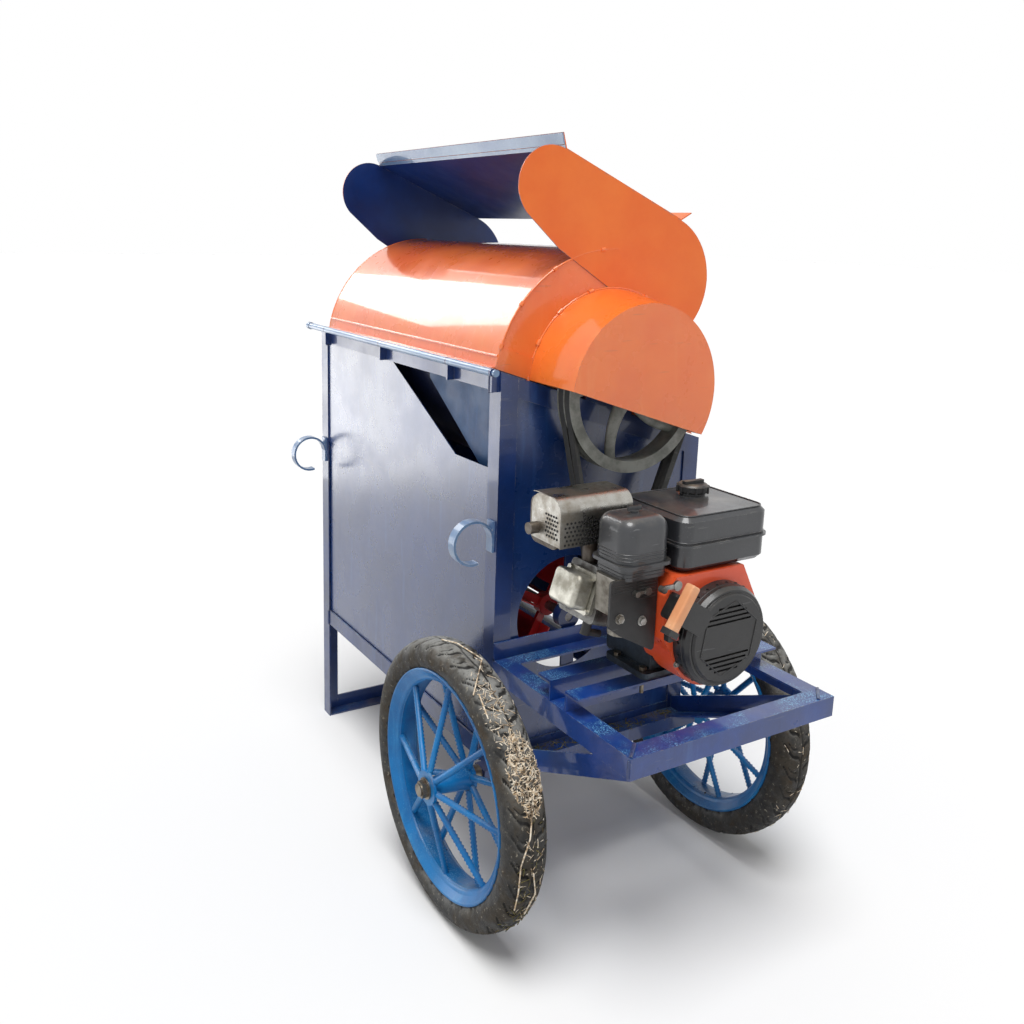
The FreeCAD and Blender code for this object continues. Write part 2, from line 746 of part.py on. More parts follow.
drum_shaft = drum_shaft.fuse(rear_pulley(axis_x, drum_z, drum_rear_pulley_radius))
save("drum_shaft", [drum_shaft.removeSplitter()])
fan_shaft = fan_shaft.fuse(rear_pulley(shaft_x, fan_z, fan_pulley_radius))
save("fan_shaft", [fan_shaft.removeSplitter()])
belts.append(belt(axis_x, drum_z, drum_rear_pulley_radius - 1, shaft_x, fan_z,
                  fan_pulley_radius - 1, rear_pulley_y0 + rear_pulley_width / 2))
save("drive_belts", belts)

# Cover over the drum, hinged on the left
lid = above_slope(cover_gap)
side_angle = 52.5
crown = 88


def sector(radius, y0, y1):
    # end plate outline: chord along the rails, straight right edge, round over the top
    x1, z1 = polar(axis_x, drum_z, radius, side_angle)
    disc = rod_y(axis_x, y0, y1, drum_z, radius)
    crest = drum_z + 2 * radius
    over = slab_xz([(left - bar_leg, crest), (left - bar_leg, top_z(right) - bar_leg),
                    (right, top_z(right)), (x1, z1), (x1, crest)], y0, y1)
    side = slab_xz([(axis_x, drum_z), (right, top_z(right)), (x1, z1)], y0, y1)
    return disc.common(over).fuse(side).removeSplitter().common(lid)


shell = arc_band(axis_x, drum_z, cover_radius - sheet, cover_radius, crown, 180,
                 cover_y0, cover_y1).common(lid)
save("cover_shell", [shell])

notch_half = 32
notch = box(axis_x - notch_half, axis_x + notch_half, cover_y0 - 20, cover_y1 + 20,
            drum_z - 150, drum_z)
notch = notch.fuse(rod_y(axis_x, cover_y0 - 20, cover_y1 + 20, drum_z, notch_half))
plates = []
for y in (cover_y0, cover_y1 - sheet):
    plates.append(sector(cover_radius, y, y + sheet).cut(notch).cut(shell))
save("cover_end_plates", plates)

band_wall = 3
bands = []
for y in (cover_y0 - band_wall, cover_y1):
    band = sector(cover_radius, y, y + band_wall).cut(above_slope(cover_gap + cover_band))
    bands.append(band.cut(notch))
lip_y0 = cover_y0 + sheet
lip_y1 = cover_y1 - sheet
lip_z = top_z(right) + cover_gap / slope_cos
feed_lip = angle_bar(V(right, lip_y0, lip_z), V(right, lip_y1, lip_z), V(0, 0, 1),
                     V(-slope_cos, 0, slope_sin), 34, 30)
feed_lip = feed_lip.common(slab_xz([(left, 0), (right, 0), (right, top_z(right)),
                                    polar(axis_x, drum_z, cover_radius, side_angle),
                                    (left, drum_z + 2 * cover_radius)], lip_y0, lip_y1))
sleeves = []
strips = []
full_shell = rod_y(axis_x, cover_y0 - 1, cover_y1 + 1, drum_z, cover_radius)
for i in range(len(lug_places) - 1):
    y0 = lug_places[i] + lug_wall + running_gap
    y1 = lug_places[i + 1] - running_gap
    outside = rod_y(hinge_x, y0, y1, hinge_z, sleeve_radius)
    sleeves.append(outside.cut(rod_y(hinge_x, y0, y1, hinge_z, hinge_radius + running_gap)))
    strip = box(hinge_x, left + 12, max(y0, cover_y0), min(y1, cover_y1),
                hinge_z + sleeve_radius - 3, hinge_z + sleeve_radius)
    strips.append(strip.cut(full_shell).cut(outside))
save("cover_hinges", sleeves)
save("cover_bands", [solid for band in bands + strips for solid in band.Solids] + feed_lip.Solids)

# Feed hood on top of the cover
small_x = hood_small_x
big_x = hood_big_x
hood_run = big_x - small_x
hood_span = sqrt(hood_run ** 2 + (hood_small_z - hood_big_z) ** 2)
lie = degrees(atan2(hood_big_z - hood_small_z, hood_run))
tilt = degrees(asin((hood_big_radius - hood_small_radius) / hood_span))
upper_normal = lie + 90 + tilt
up_x, up_z = cos(radians(upper_normal)), sin(radians(upper_normal))
along_x, along_z = up_z, -up_x
up_a = (small_x + up_x * hood_small_radius, hood_small_z + up_z * hood_small_radius)
up_b = (big_x + up_x * hood_big_radius, hood_big_z + up_z * hood_big_radius)
low_a = polar(small_x, hood_small_z, hood_small_radius, 223)
low_b = polar(big_x, hood_big_z, hood_big_radius, -67)
small_mid = polar(small_x, hood_small_z, hood_small_radius, (upper_normal + 223) / 2)
big_mid = polar(big_x, hood_big_z, hood_big_radius, (upper_normal - 67) / 2)
knee = (small_x + 23, hood_small_z - 118)


def hood_cheek(y0, y1):
    points = [up_a, small_mid, low_a, knee, low_b, big_mid, up_b]
    p = [V(x, y0, z) for x, z in points]
    edges = [Part.Arc(p[0], p[1], p[2]).toShape(), Part.makeLine(p[2], p[3]),
             Part.makeLine(p[3], p[4]), Part.Arc(p[4], p[5], p[6]).toShape(),
             Part.makeLine(p[6], p[0])]
    return Part.Face(Part.Wire(edges)).extrude(V(0, y1 - y0, 0))


cheek_front = hood_cheek(cover_y0 - sheet, cover_y0)
cheek_rear = hood_cheek(cover_y1, cover_y1 + sheet)
save("hood_cheeks", [cheek_front, cheek_rear])


def hood_point(origin, along, lift):
    return origin[0] + along_x * along + up_x * lift, origin[1] + along_z * along + up_z * lift


plate_points = [
    hood_point(up_a, 0, 0),
    hood_point(up_b, 0, 0),
    hood_point(up_b, hood_lip * 0.62, hood_lip * 0.78),
    hood_point(up_b, hood_lip * 0.62 - sheet, hood_lip * 0.78 + 1),
    hood_point(up_b, -sheet, sheet),
    hood_point(up_a, sheet, sheet),
    hood_point(up_a, sheet - hood_lip * 0.61, hood_lip * 0.79 + 1),
    hood_point(up_a, -hood_lip * 0.61, hood_lip * 0.79),
]
save("hood_plate", [slab_xz(plate_points, cover_y0 - sheet, cover_y1 + sheet)])

# Guard over the drum pulley
guard_y1 = cover_y0
guard_y0 = cover_y0 - guard_depth


def guard_body(inset, y0, y1):
    r0 = guard_front_radius - inset
    r1 = guard_rear_radius - inset
    return Part.makeCone(r0, r1, y1 - y0, V(axis_x, y0, drum_z), V(0, 1, 0))


guard = guard_body(0, guard_y0, guard_y1).cut(guard_body(sheet, guard_y0 + sheet, guard_y1 + 1))
guard = guard.common(lid)
guard = cut_by(guard, [cheek_front] + bands)
save("pulley_guard", [guard])

# Wheels


def wheel(side):
    x_mid = side * (platform_right + wheel_offset)
    half = rim_width / 2
    outline = [(-half, rim_radius), (-half + 3, rim_radius), (-half + rim_slope, rim_bed),
               (half - rim_slope, rim_bed), (half - 3, rim_radius), (half, rim_radius),
               (half, rim_radius - 5), (half - rim_slope, rim_bed - 4),
               (-half + rim_slope, rim_bed - 4), (-half, rim_radius - 5)]
    rim_part = turned_x([(x_mid + x, r) for x, r in outline], axle_y, axle_z)
    out = side * hub_outer
    inn = -side * hub_inner
    hub_line = [(inn, axle_radius + running_gap), (inn, hub_large + 6),
                (inn + side * 6, hub_large + 6), (inn + side * 8, hub_large),
                (out - side * 12, hub_small), (out - side * 6, hub_small),
                (out - side * 6, hub_flange), (out, hub_flange),
                (out, axle_radius + running_gap)]
    hub_part = turned_x([(x_mid + x, r) for x, r in hub_line], axle_y, axle_z)
    spokes = []
    for i in range(2 * spokes_per_side):
        angle = 360 / (2 * spokes_per_side) * i
        outer = i % 2 == 0
        x0 = x_mid + (out - side * 5 if outer else inn + side * 5)
        x1 = x_mid + (side * 14 if outer else -side * 14)
        y0, z0 = polar(axle_y, axle_z, hub_flange - 8 if outer else hub_large - 2, angle)
        y1, z1 = polar(axle_y, axle_z, rim_bed - 2, angle)
        start = V(x0, y0, z0)
        run = V(x1, y1, z1) - start
        spoke = Part.makeCylinder(spoke_radius, run.Length, start, run)
        spoke = cut_by(spoke, [hub_part, rim_part])
        spokes.append(max(spoke.Solids, key=lambda solid: solid.Volume))
    return [rim_part, hub_part] + spokes


def tyre(side):
    x_mid = side * (platform_right + wheel_offset)
    half = tyre_width / 2
    seat = rim_width / 2 - 3
    well = rim_width / 2 - rim_slope
    outline = [(-well, rim_bed), (-seat, rim_radius), (-half + 2, rim_radius + 14),
               (-half, rim_radius + 30), (-half + 8, tyre_radius - 10), (-half + 22, tyre_radius - 2),
               (-8, tyre_radius), (8, tyre_radius), (half - 22, tyre_radius - 2),
               (half - 8, tyre_radius - 10), (half, rim_radius + 30), (half - 2, rim_radius + 14),
               (seat, rim_radius), (well, rim_bed)]
    return turned_x([(x_mid + x, r) for x, r in outline], axle_y, axle_z)


for side, word in ((-1, "left"), (1, "right")):
    save(word + "_wheel", wheel(side))
    save(word + "_tyre", [tyre(side)])

# Engine: crankcase on its feet, bolted to the two raised rails
case_y0 = front - case_front
case_y1 = front - case_rear
case_top = tank_bottom - 18
foot_reach = bolt_x + 13
foot_wall = 12
feet = box(crank_x - foot_reach, crank_x + foot_reach, rail_b - bar_leg + 4, rail_a + bar_leg - 2,
           mount_top, mount_top + foot_wall)
feet = rounded(feet, 10, V(0, 0, 1))
case = box(crank_x - case_half, crank_x + case_half, case_y0, case_y1, mount_top, case_top)
case = rounded(case, 18, V(0, 1, 0))
case = case.fuse(rod_y(crank_x, case_y1 - 20, case_y1 + 8, crank_z, 46))
filler = rod_y(crank_x - case_half + 22, case_y0 - 16, case_y0 + 5, mount_top + 34, 12)
stays = [box(crank_x + x - 12, crank_x + x + 12, case_y0 + 20, case_y0 + 60, case_top - 1,
             tank_bottom) for x in (-32, 40)]
case = case.fuse([feet, filler] + stays).removeSplitter()
case = cut_by(case, bolt_holes)
case = case.cut(rod_y(crank_x, case_y1 - 1, case_y1 + 9, crank_z, 12 + running_gap))
save("engine_crankcase", [case])

bolt_length = 46
engine_bolts = []
for x, y in bolt_places:
    shank = rod_z(x, y, mount_top + foot_wall - bolt_length, mount_top + foot_wall, 4)
    head = hex_z(x, y, mount_top + foot_wall, mount_top + foot_wall + 6, 13)
    nut = hex_z(x, y, mount_top - bar_wall - 7, mount_top - bar_wall, 13)
    engine_bolts.append(head.fuse([shank, nut]).removeSplitter())
save("engine_bolts", engine_bolts)

# Cylinder with cooling fins, head and valve cover, leaning to the left
fin_half = 50
fin_from = 84
fin_pitch = 9
fin_count = 9
head_from = fin_from + fin_pitch * fin_count
head_length = 36
valve_length = 46


def leaning(shape):
    # turns a piece drawn straight up from the crank onto the cylinder's axis
    shape.rotate(V(crank_x, mid_y, crank_z), V(0, 1, 0), cylinder_tilt - 90)
    return shape


def stacked(half_x, half_y, low, high, edge=0):
    shape = box(crank_x - half_x, crank_x + half_x, mid_y - half_y, mid_y + half_y,
                crank_z + low, crank_z + high)
    return rounded(shape, edge, V(0, 0, 1)) if edge else shape


barrel = stacked(36, 40, 40, head_from, 12)
for i in range(fin_count):
    low = fin_from + fin_pitch * i
    barrel = barrel.fuse(stacked(fin_half, fin_half, low, low + 3, 12))
head = stacked(fin_half, fin_half + 2, head_from, head_from + head_length, 10)
barrel = leaning(barrel.fuse(head).removeSplitter()).cut(case)
save("engine_cylinder", barrel.Solids)

cover_low = head_from + head_length
rocker = stacked(38, 44, cover_low, cover_low + 8, 10)
dome = stacked(32, 38, cover_low + 8, cover_low + valve_length, 12)
dome = rounded(dome, 8, V(0, 1, 0))
screws = []
for i, j in ((-1, -1), (1, -1), (-1, 1), (1, 1)):
    screws.append(hex_z(crank_x + i * 32, mid_y + j * 38, crank_z + cover_low + 8,
                        crank_z + cover_low + 14, 10))
save("valve_cover", [leaning(rocker.fuse([dome] + screws).removeSplitter())])

boot_z = crank_z + cover_low - head_length / 2
boot = rod_x(crank_x - fin_half - 26, crank_x - fin_half, mid_y - 20, boot_z, 9)
boot = boot.fuse(rod_z(crank_x - fin_half - 20, mid_y - 20, boot_z - 34, boot_z, 7))
boot = boot.removeSplitter()
save("spark_cap", [leaning(boot)])

# Blower shroud and recoil starter cover on the front of the engine
shroud_y0 = case_y0 - shroud_depth
shroud_left = crank_x - shroud_radius - 15
shroud_disc = rod_y(crank_x, shroud_y0, case_y0, crank_z, shroud_radius)
duct = slab_xz([(shroud_left, crank_z + 4), (shroud_left, crank_z + 84),
                (shroud_left + 20, shroud_top), (crank_x + 62, shroud_top),
                (crank_x + shroud_radius, crank_z + 40), (crank_x + shroud_radius, crank_z),
                (crank_x - shroud_radius, crank_z - 20)], shroud_y0, case_y0)
shroud = shroud_disc.fuse(duct).removeSplitter()
shroud = shroud.cut(box(shroud_left, crank_x + 200, shroud_y0, case_y0 + 1, 0, mount_top + 3))
feet_pocket = box(crank_x - foot_reach - 1, crank_x + foot_reach + 1, rail_b - bar_leg + 3,
                  case_y0 + 1, mount_top, mount_top + foot_wall + 8)
filler_pocket = box(shroud_left - 1, crank_x - case_half + 36, case_y0 - 18, case_y0 + 1,
                    mount_top, mount_top + 50)
shroud = cut_by(shroud, [feet_pocket, filler_pocket])
save("blower_shroud", [shroud])

recoil_y0 = shroud_y0 - recoil_depth
recoil_radius = shroud_radius - 6
face_radius = recoil_radius - 13
cup = turned_y([(shroud_y0, 0.0), (shroud_y0, recoil_radius), (recoil_y0 + 12, recoil_radius - 3),
                (recoil_y0 + 4, recoil_radius - 8), (recoil_y0 + 4, face_radius),
                (recoil_y0, face_radius - 4), (recoil_y0, 0.0)], crank_x, crank_z)
slot_gap = 9
slot_depth = 5
slots = []
for side in (-1, 1):
    for i in range(4):
        z = crank_z + side * (32 + slot_gap * i)
        half = sqrt(max((face_radius - 16) ** 2 - (z - crank_z) ** 2, 100)) - 4
        slots.append(box(crank_x - half, crank_x + half * 0.9, recoil_y0 - 1,
                         recoil_y0 + slot_depth, z - 2, z + 2))
cup = cut_by(cup, slots)
grip_angle = 148
grip_out = recoil_radius + 46
grip_length = 94
grip_y0 = recoil_y0 - 22
grip_y1 = recoil_y0 - 2


def at_grip(shape):
    shape.rotate(V(crank_x, 0, crank_z), V(0, 1, 0), 90 - grip_angle)
    return shape


rest = box(crank_x - 24, crank_x + 24, grip_y0 + 6, shroud_y0, crank_z + recoil_radius - 14,
           crank_z + grip_out - 1)
rest = at_grip(rounded(rest, 8, V(0, 1, 0)))
cup = cup.fuse(rest).removeSplitter()
grip = box(crank_x - grip_length / 2, crank_x + grip_length / 2, grip_y0, grip_y1,
           crank_z + grip_out, crank_z + grip_out + 20)
grip = at_grip(rounded(grip, 4))
save("recoil_grip", [grip])

# Fuel tank with its seam and cap
tank_x0 = left + tank_left
tank_x1 = tank_x0 + tank_width
tank_y1 = mid_y + 45
tank_y0 = tank_y1 - tank_length
seam_z = tank_bottom + tank_height * 0.48
seam_out = 5
tank = box(tank_x0 + seam_out, tank_x1 - seam_out, tank_y0 + seam_out, tank_y1 - seam_out,
           tank_bottom, tank_bottom + tank_height)
tank = rounded(tank, 24, V(0, 0, 1))
tank = tank.makeChamfer(9, [e for e in tank.Edges if e.BoundBox.ZLength < 0.01])
rim_band = rounded(box(tank_x0, tank_x1, tank_y0, tank_y1, seam_z - 2, seam_z + 2), 28, V(0, 0, 1))
cap_x = tank_x1 - 81
cap_y = tank_y1 - 62
cap_radius = 29
neck = rod_z(cap_x, cap_y, tank_bottom + tank_height - 1, tank_bottom + tank_height + 5, 24)
tank = tank.fuse([rim_band, neck]).removeSplitter()
save("fuel_tank", [tank])

cap_z0 = tank_bottom + tank_height + 5 + running_gap
cap = rod_z(cap_x, cap_y, cap_z0, cap_z0 + 16, cap_radius)
cap = cap.makeChamfer(3, [e for e in cap.Edges if e.BoundBox.ZLength < 0.01])
grips = []
for i in range(12):
    a = radians(30 * i)
    grips.append(rod_z(cap_x + cap_radius * cos(a), cap_y + cap_radius * sin(a), cap_z0,
                       cap_z0 + 13, 2.5))
bar = box(cap_x - cap_radius + 6, cap_x + cap_radius - 6, cap_y - 5, cap_y + 5, cap_z0 + 16,
          cap_z0 + 22)
save("fuel_cap", [cap.fuse(grips + [bar]).removeSplitter()])

# Air cleaner above the carburettor
cleaner_x1 = tank_x0 - 4
cleaner_x0 = cleaner_x1 - 112
cleaner_y1 = mid_y - 31
cleaner_y0 = cleaner_y1 - 104
cleaner_z0 = shroud_top + 1
cleaner_seam = cleaner_z0 + cleaner_base
cleaner_top = cleaner_seam + cleaner_height
base = rounded(box(cleaner_x0 + 8, cleaner_x1 - 8, cleaner_y0 + 8, cleaner_y1 - 8, cleaner_z0,
                   cleaner_seam - 6), 16, V(0, 0, 1))
rim_plate = rounded(box(cleaner_x0, cleaner_x1, cleaner_y0, cleaner_y1, cleaner_seam - 6,
                        cleaner_seam), 20, V(0, 0, 1))
save("air_cleaner_base", [base.fuse(rim_plate).removeSplitter()])
shell_top = rounded(box(cleaner_x0 + 4, cleaner_x1 - 4, cleaner_y0 + 4, cleaner_y1 - 4,
                        cleaner_seam, cleaner_top), 28, V(0, 0, 1))
shell_top = shell_top.makeFillet(24, [e for e in shell_top.Edges
                                      if e.BoundBox.ZMin > cleaner_top - 0.1])
knob_x = (cleaner_x0 + cleaner_x1) / 2
knob_y = (cleaner_y0 + cleaner_y1) / 2
knob = rod_z(knob_x, knob_y, cleaner_top, cleaner_top + 4, 8)
knob = knob.fuse(box(knob_x - 14, knob_x + 14, knob_y - 2.5, knob_y + 2.5, cleaner_top + 4,
                     cleaner_top + 12))
save("air_cleaner_cover", [shell_top.fuse(knob).removeSplitter()])

# Carburettor between the head and the air cleaner, with its cover panel in front
carb_x0 = left + 44
carb_x1 = left + 108
carb_y0 = cleaner_y0 + 18
carb_y1 = mid_y - fin_half - 2
carb_z0 = crank_z + 50
carburettor = box(carb_x0, carb_x1, carb_y0, carb_y1, carb_z0, cleaner_z0)
bowl = rod_z((carb_x0 + carb_x1) / 2, (carb_y0 + carb_y1) / 2 - 6, carb_z0 - bar_leg,
             carb_z0, 22)
carburettor = rounded(carburettor, 8, V(0, 0, 1)).fuse(bowl).removeSplitter()
carburettor = cut_by(carburettor, barrel.Solids)
save("carburettor", [max(carburettor.Solids, key=lambda solid: solid.Volume)])

panel_x0 = cleaner_x0 - 18
panel_x1 = shroud_left - 2
panel_y0 = carb_y0 - 5
panel = slab_xz([(panel_x0, cleaner_z0 + 4), (panel_x0, crank_z + 38), (panel_x0 + 24, crank_z + 20),
                 (panel_x1, crank_z - 24), (panel_x1, cleaner_z0 + 4)], panel_y0, carb_y0)
panel = rounded(panel, 6, V(0, 1, 0))
screws = [hex_y(panel_x0 + x, panel_y0 - 4, panel_y0, crank_z + z, 11) for x, z in ((22, 52), (72, 40))]
panel = panel.fuse(screws).removeSplitter().cut(base)
save("carburettor_panel", [panel])

# Muffler over the cylinder with its heat guard
muffler_x1 = tank_x0 - 10
muffler_x0 = muffler_x1 - muffler_length
muffler_y0 = mid_y - 9
muffler_y1 = mid_y + 81
muffler_z0 = crank_z + 146
muffler_z1 = muffler_z0 + muffler_height
muffler = rounded(box(muffler_x0, muffler_x1, muffler_y0, muffler_y1, muffler_z0, muffler_z1),
                  20, V(1, 0, 0))
port_x = crank_x + fin_half * sin(radians(cylinder_tilt))
port_x -= (cover_low - head_length / 2) * cos(radians(cylinder_tilt))
pipe = rod_z(port_x, mid_y + 24, crank_z + cover_low / 2, muffler_z0, 15)
pipe = cut_by(pipe, barrel.Solids).Solids
tail = rod_x(muffler_x0 - 22, muffler_x0, muffler_y1 - 26, muffler_z0 + 30, 11)
muffler = muffler.fuse([tail]).removeSplitter()
save("muffler", [muffler] + pipe)

guard_gap = 7
guard_skin = 1.5
outer = rounded(box(muffler_x0 - 2, muffler_x1 + 2, muffler_y0 - guard_gap - guard_skin,
                    muffler_y1 + guard_gap, muffler_z0 - 30, muffler_z1 + guard_gap + guard_skin),
                20 + guard_gap, V(1, 0, 0))
inner = rounded(box(muffler_x0 - 3, muffler_x1 + 3, muffler_y0 - guard_gap,
                    muffler_y1 + guard_gap, muffler_z0 - 28, muffler_z1 + guard_gap),
                18 + guard_gap, V(1, 0, 0))
skin = outer.cut(inner).common(box(muffler_x0 - 4, muffler_x1 + 4, muffler_y0 - 40,
                                   muffler_y1 - 10, muffler_z0 + 8, muffler_z1 + 20))
posts_up = [rod_z(muffler_x0 + 30, muffler_y0 + 45, muffler_z1, muffler_z1 + guard_gap, 5),
            rod_z(muffler_x1 - 30, muffler_y0 + 45, muffler_z1, muffler_z1 + guard_gap, 5)]
save("muffler_guard", [skin] + posts_up)

# Levers and the stop switch beside the recoil cover
lever_y1 = shroud_y0 - running_gap
lever_x = shroud_left + 20
block_z = shroud_top - 13
throttle = rod_y(lever_x, lever_y1 - 5, lever_y1, block_z, 9)
throttle = throttle.fuse(box(lever_x - 36, lever_x, lever_y1 - 4, lever_y1, block_z - 4,
                             block_z + 4))
throttle = throttle.fuse(rod_y(lever_x - 36, lever_y1 - 12, lever_y1, block_z, 6))
save("throttle_lever", [throttle.removeSplitter()])

choke_z = cleaner_z0 - 24
choke_y1 = panel_y0 - running_gap
choke_x = panel_x1 - 24
choke = rod_y(choke_x, choke_y1 - 5, choke_y1, choke_z, 7)
choke = choke.fuse(box(choke_x - 28, choke_x, choke_y1 - 4, choke_y1, choke_z - 3, choke_z + 3))
choke = choke.fuse(rod_y(choke_x - 28, choke_y1 - 10, choke_y1, choke_z, 5))
save("choke_lever", [choke.removeSplitter()])

switch_x = shroud_left + 9
switch_z = crank_z + 20
switch_box = rounded(box(switch_x - 10, switch_x + 10, shroud_y0 - 12, shroud_y0, switch_z - 15,
                         switch_z + 15), 3, V(0, 1, 0))
save("recoil_cover", [cup, switch_box])
turn_y = shroud_y0 - 12 - running_gap
knob = rod_y(switch_x, turn_y - 5, turn_y, switch_z, 8)
knob = knob.fuse(box(switch_x - 3, switch_x + 3, turn_y - 11, turn_y - 5, switch_z - 8,
                     switch_z + 8))
save("engine_switch", [knob.removeSplitter()])
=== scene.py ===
import json
import math

import bmesh
import bpy
from mathutils import Matrix, Vector, noise


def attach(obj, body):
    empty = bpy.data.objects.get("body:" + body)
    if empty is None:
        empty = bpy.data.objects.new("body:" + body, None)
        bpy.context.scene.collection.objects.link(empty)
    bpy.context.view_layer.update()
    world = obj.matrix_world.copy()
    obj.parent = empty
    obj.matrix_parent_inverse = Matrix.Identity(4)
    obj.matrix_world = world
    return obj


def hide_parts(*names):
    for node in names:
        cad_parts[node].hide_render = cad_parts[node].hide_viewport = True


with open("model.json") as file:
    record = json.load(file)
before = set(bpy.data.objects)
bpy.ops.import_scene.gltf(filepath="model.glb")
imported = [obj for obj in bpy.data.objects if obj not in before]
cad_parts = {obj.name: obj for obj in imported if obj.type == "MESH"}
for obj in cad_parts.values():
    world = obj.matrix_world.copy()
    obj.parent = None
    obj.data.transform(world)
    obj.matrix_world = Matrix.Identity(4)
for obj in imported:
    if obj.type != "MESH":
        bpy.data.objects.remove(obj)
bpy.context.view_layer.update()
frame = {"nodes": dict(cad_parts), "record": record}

nodes = frame["nodes"]
print("frame loaded:", len(nodes), "nodes")

# Places of the machine in metres, the same as in the solid model
machine = {
    "left": -0.245,
    "platformRight": 0.245,
    "front": -0.260,
    "rear": 0.640,
    "platformFront": -0.695,
    "platformTop": 0.520,
    "railTop": 0.320,
    "postTop": 1.105,
    "barWidth": 0.040,
    "drumX": 0.030,
    "drumZ": 1.060,
    "crankX": 0.005,
    "crankZ": 0.666,
    "axleY": -0.275,
    "axleZ": 0.288,
    "wheelX": 0.338,
}


def rgb(red, green, blue):
    # colour from 0-255 screen values
    values = []
    for part in (red, green, blue):
        part = part / 255
        values.append(part / 12.92 if part <= 0.04045 else ((part + 0.055) / 1.055) ** 2.4)
    return (*values, 1.0)


def addNode(tree, kind, feeds, **settings):
    # each input is fed by a value, another node's socket or a node's first output
    node = tree.nodes.new(kind)
    for setting, value in settings.items():
        setattr(node, setting, value)
    for label, value in feeds.items():
        if isinstance(value, bpy.types.Node):
            value = value.outputs[0]
        if isinstance(value, bpy.types.NodeSocket):
            tree.links.new(value, node.inputs[label])
        else:
            node.inputs[label].default_value = value
    return node


def emptyTree(owner):
    owner.use_nodes = True
    owner.node_tree.nodes.clear()
    return owner.node_tree


class Finish:
    # a procedural finish: one Principled shader and short ways to build what feeds it

    def __init__(self, name):
        self.material = bpy.data.materials.new(name)
        self.tree = emptyTree(self.material)
        self.place = self.add("ShaderNodeTexCoord", {}).outputs["Object"]
        self.normal = None

    def add(self, kind, feeds, **settings):
        return addNode(self.tree, kind, feeds, **settings)

    def stretched(self, x, y, z, turn=(0, 0, 0)):
        return self.add("ShaderNodeMapping", {"Vector": self.place, "Scale": (x, y, z),
                                              "Rotation": turn}).outputs["Vector"]

    def noise(self, scale, detail=3.0, rough=0.55, place=None, distortion=0.0):
        feeds = {"Vector": place or self.place, "Scale": scale, "Detail": detail,
                 "Roughness": rough, "Distortion": distortion}
        return self.add("ShaderNodeTexNoise", feeds).outputs["Fac"]

    def span(self, value, low, high, first=0.0, last=1.0):
        feeds = {"Value": value, "From Min": low, "From Max": high, "To Min": first,
                 "To Max": last}
        return self.add("ShaderNodeMapRange", feeds,
                        interpolation_type="SMOOTHSTEP").outputs["Result"]

    def patchy(self, scale, detail, rough, low, high, first=0.0, last=1.0):
        return self.span(self.noise(scale, detail, rough), low, high, first, last)

    def maths(self, kind, first, second):
        return self.add("ShaderNodeMath", {0: first, 1: second}, operation=kind,
                        use_clamp=kind in ("ADD", "MULTIPLY")).outputs[0]

    def times(self, first, second):
        return self.maths("MULTIPLY", first, second)

    def mix(self, share, first, second):
        return self.add("ShaderNodeMix", {"Factor": share, "A": first, "B": second},
                        data_type="RGBA").outputs["Result"]

    def part(self, vector, axis):
        return self.add("ShaderNodeSeparateXYZ", {"Vector": vector}).outputs[axis]

    def facing(self):
        return self.add("ShaderNodeNewGeometry", {}).outputs["Normal"]

    def upward(self, low=0.4, high=0.95):
        return self.span(self.part(self.facing(), "Z"), low, high)

    def dusted(self, colour, cloud, amount, tone, low=0.4, high=0.95):
        share = self.times(self.times(self.upward(low, high), cloud), amount)
        return self.mix(share, colour, tone)

    def edges(self, radius, low=0.02, high=0.25):
        bevel = self.add("ShaderNodeBevel", {"Radius": radius}, samples=4)
        dot = self.add("ShaderNodeVectorMath", {0: bevel.outputs["Normal"], 1: self.facing()},
                       operation="DOT_PRODUCT")
        return self.span(self.maths("SUBTRACT", 1.0, dot.outputs["Value"]), low, high)

    def bump(self, height, depth, strength):
        feeds = {"Height": height, "Distance": depth, "Strength": strength}
        if self.normal:
            feeds["Normal"] = self.normal
        self.normal = self.add("ShaderNodeBump", feeds).outputs["Normal"]

    def done(self, colour, roughness, metallic=0.0, coat=0.0, specular=0.5, coatRough=0.06):
        feeds = {"Base Color": colour, "Roughness": roughness, "Metallic": metallic,
                 "Coat Weight": coat, "Coat Roughness": coatRough,
                 "Specular IOR Level": specular}
        if self.normal:
            feeds["Normal"] = self.normal
        shader = self.add("ShaderNodeBsdfPrincipled", feeds)
        self.add("ShaderNodeOutputMaterial", {"Surface": shader})
        return self.material


# What a paint, metal or plastic has where its own look doesn't say otherwise
paintBase = {"patchScale": 7, "sheenStreaks": 0.25, "glintSpeckScale": 420, "glintSpecks": 0.35, "topGlints": 0,
             "scratches": 0.15, "edge": 0.0025, "spots": 0.8, "dust": 0.35,
             "dustTone": (150, 135, 110), "dentScale": 3.2, "dents": 0.004, "coat": 0.25,
             "specular": 0.5, "coatRough": 0.06}
metalBase = {"stainScale": 26, "wear": 0.6, "dust": 0.3, "dustTone": rgb(140, 128, 108),
             "grain": 900, "grainDepth": 0.5, "metallic": 1.0}
plasticBase = {"dust": 0.4, "dustTone": rgb(150, 138, 118), "grain": 1300, "coat": 0.0}


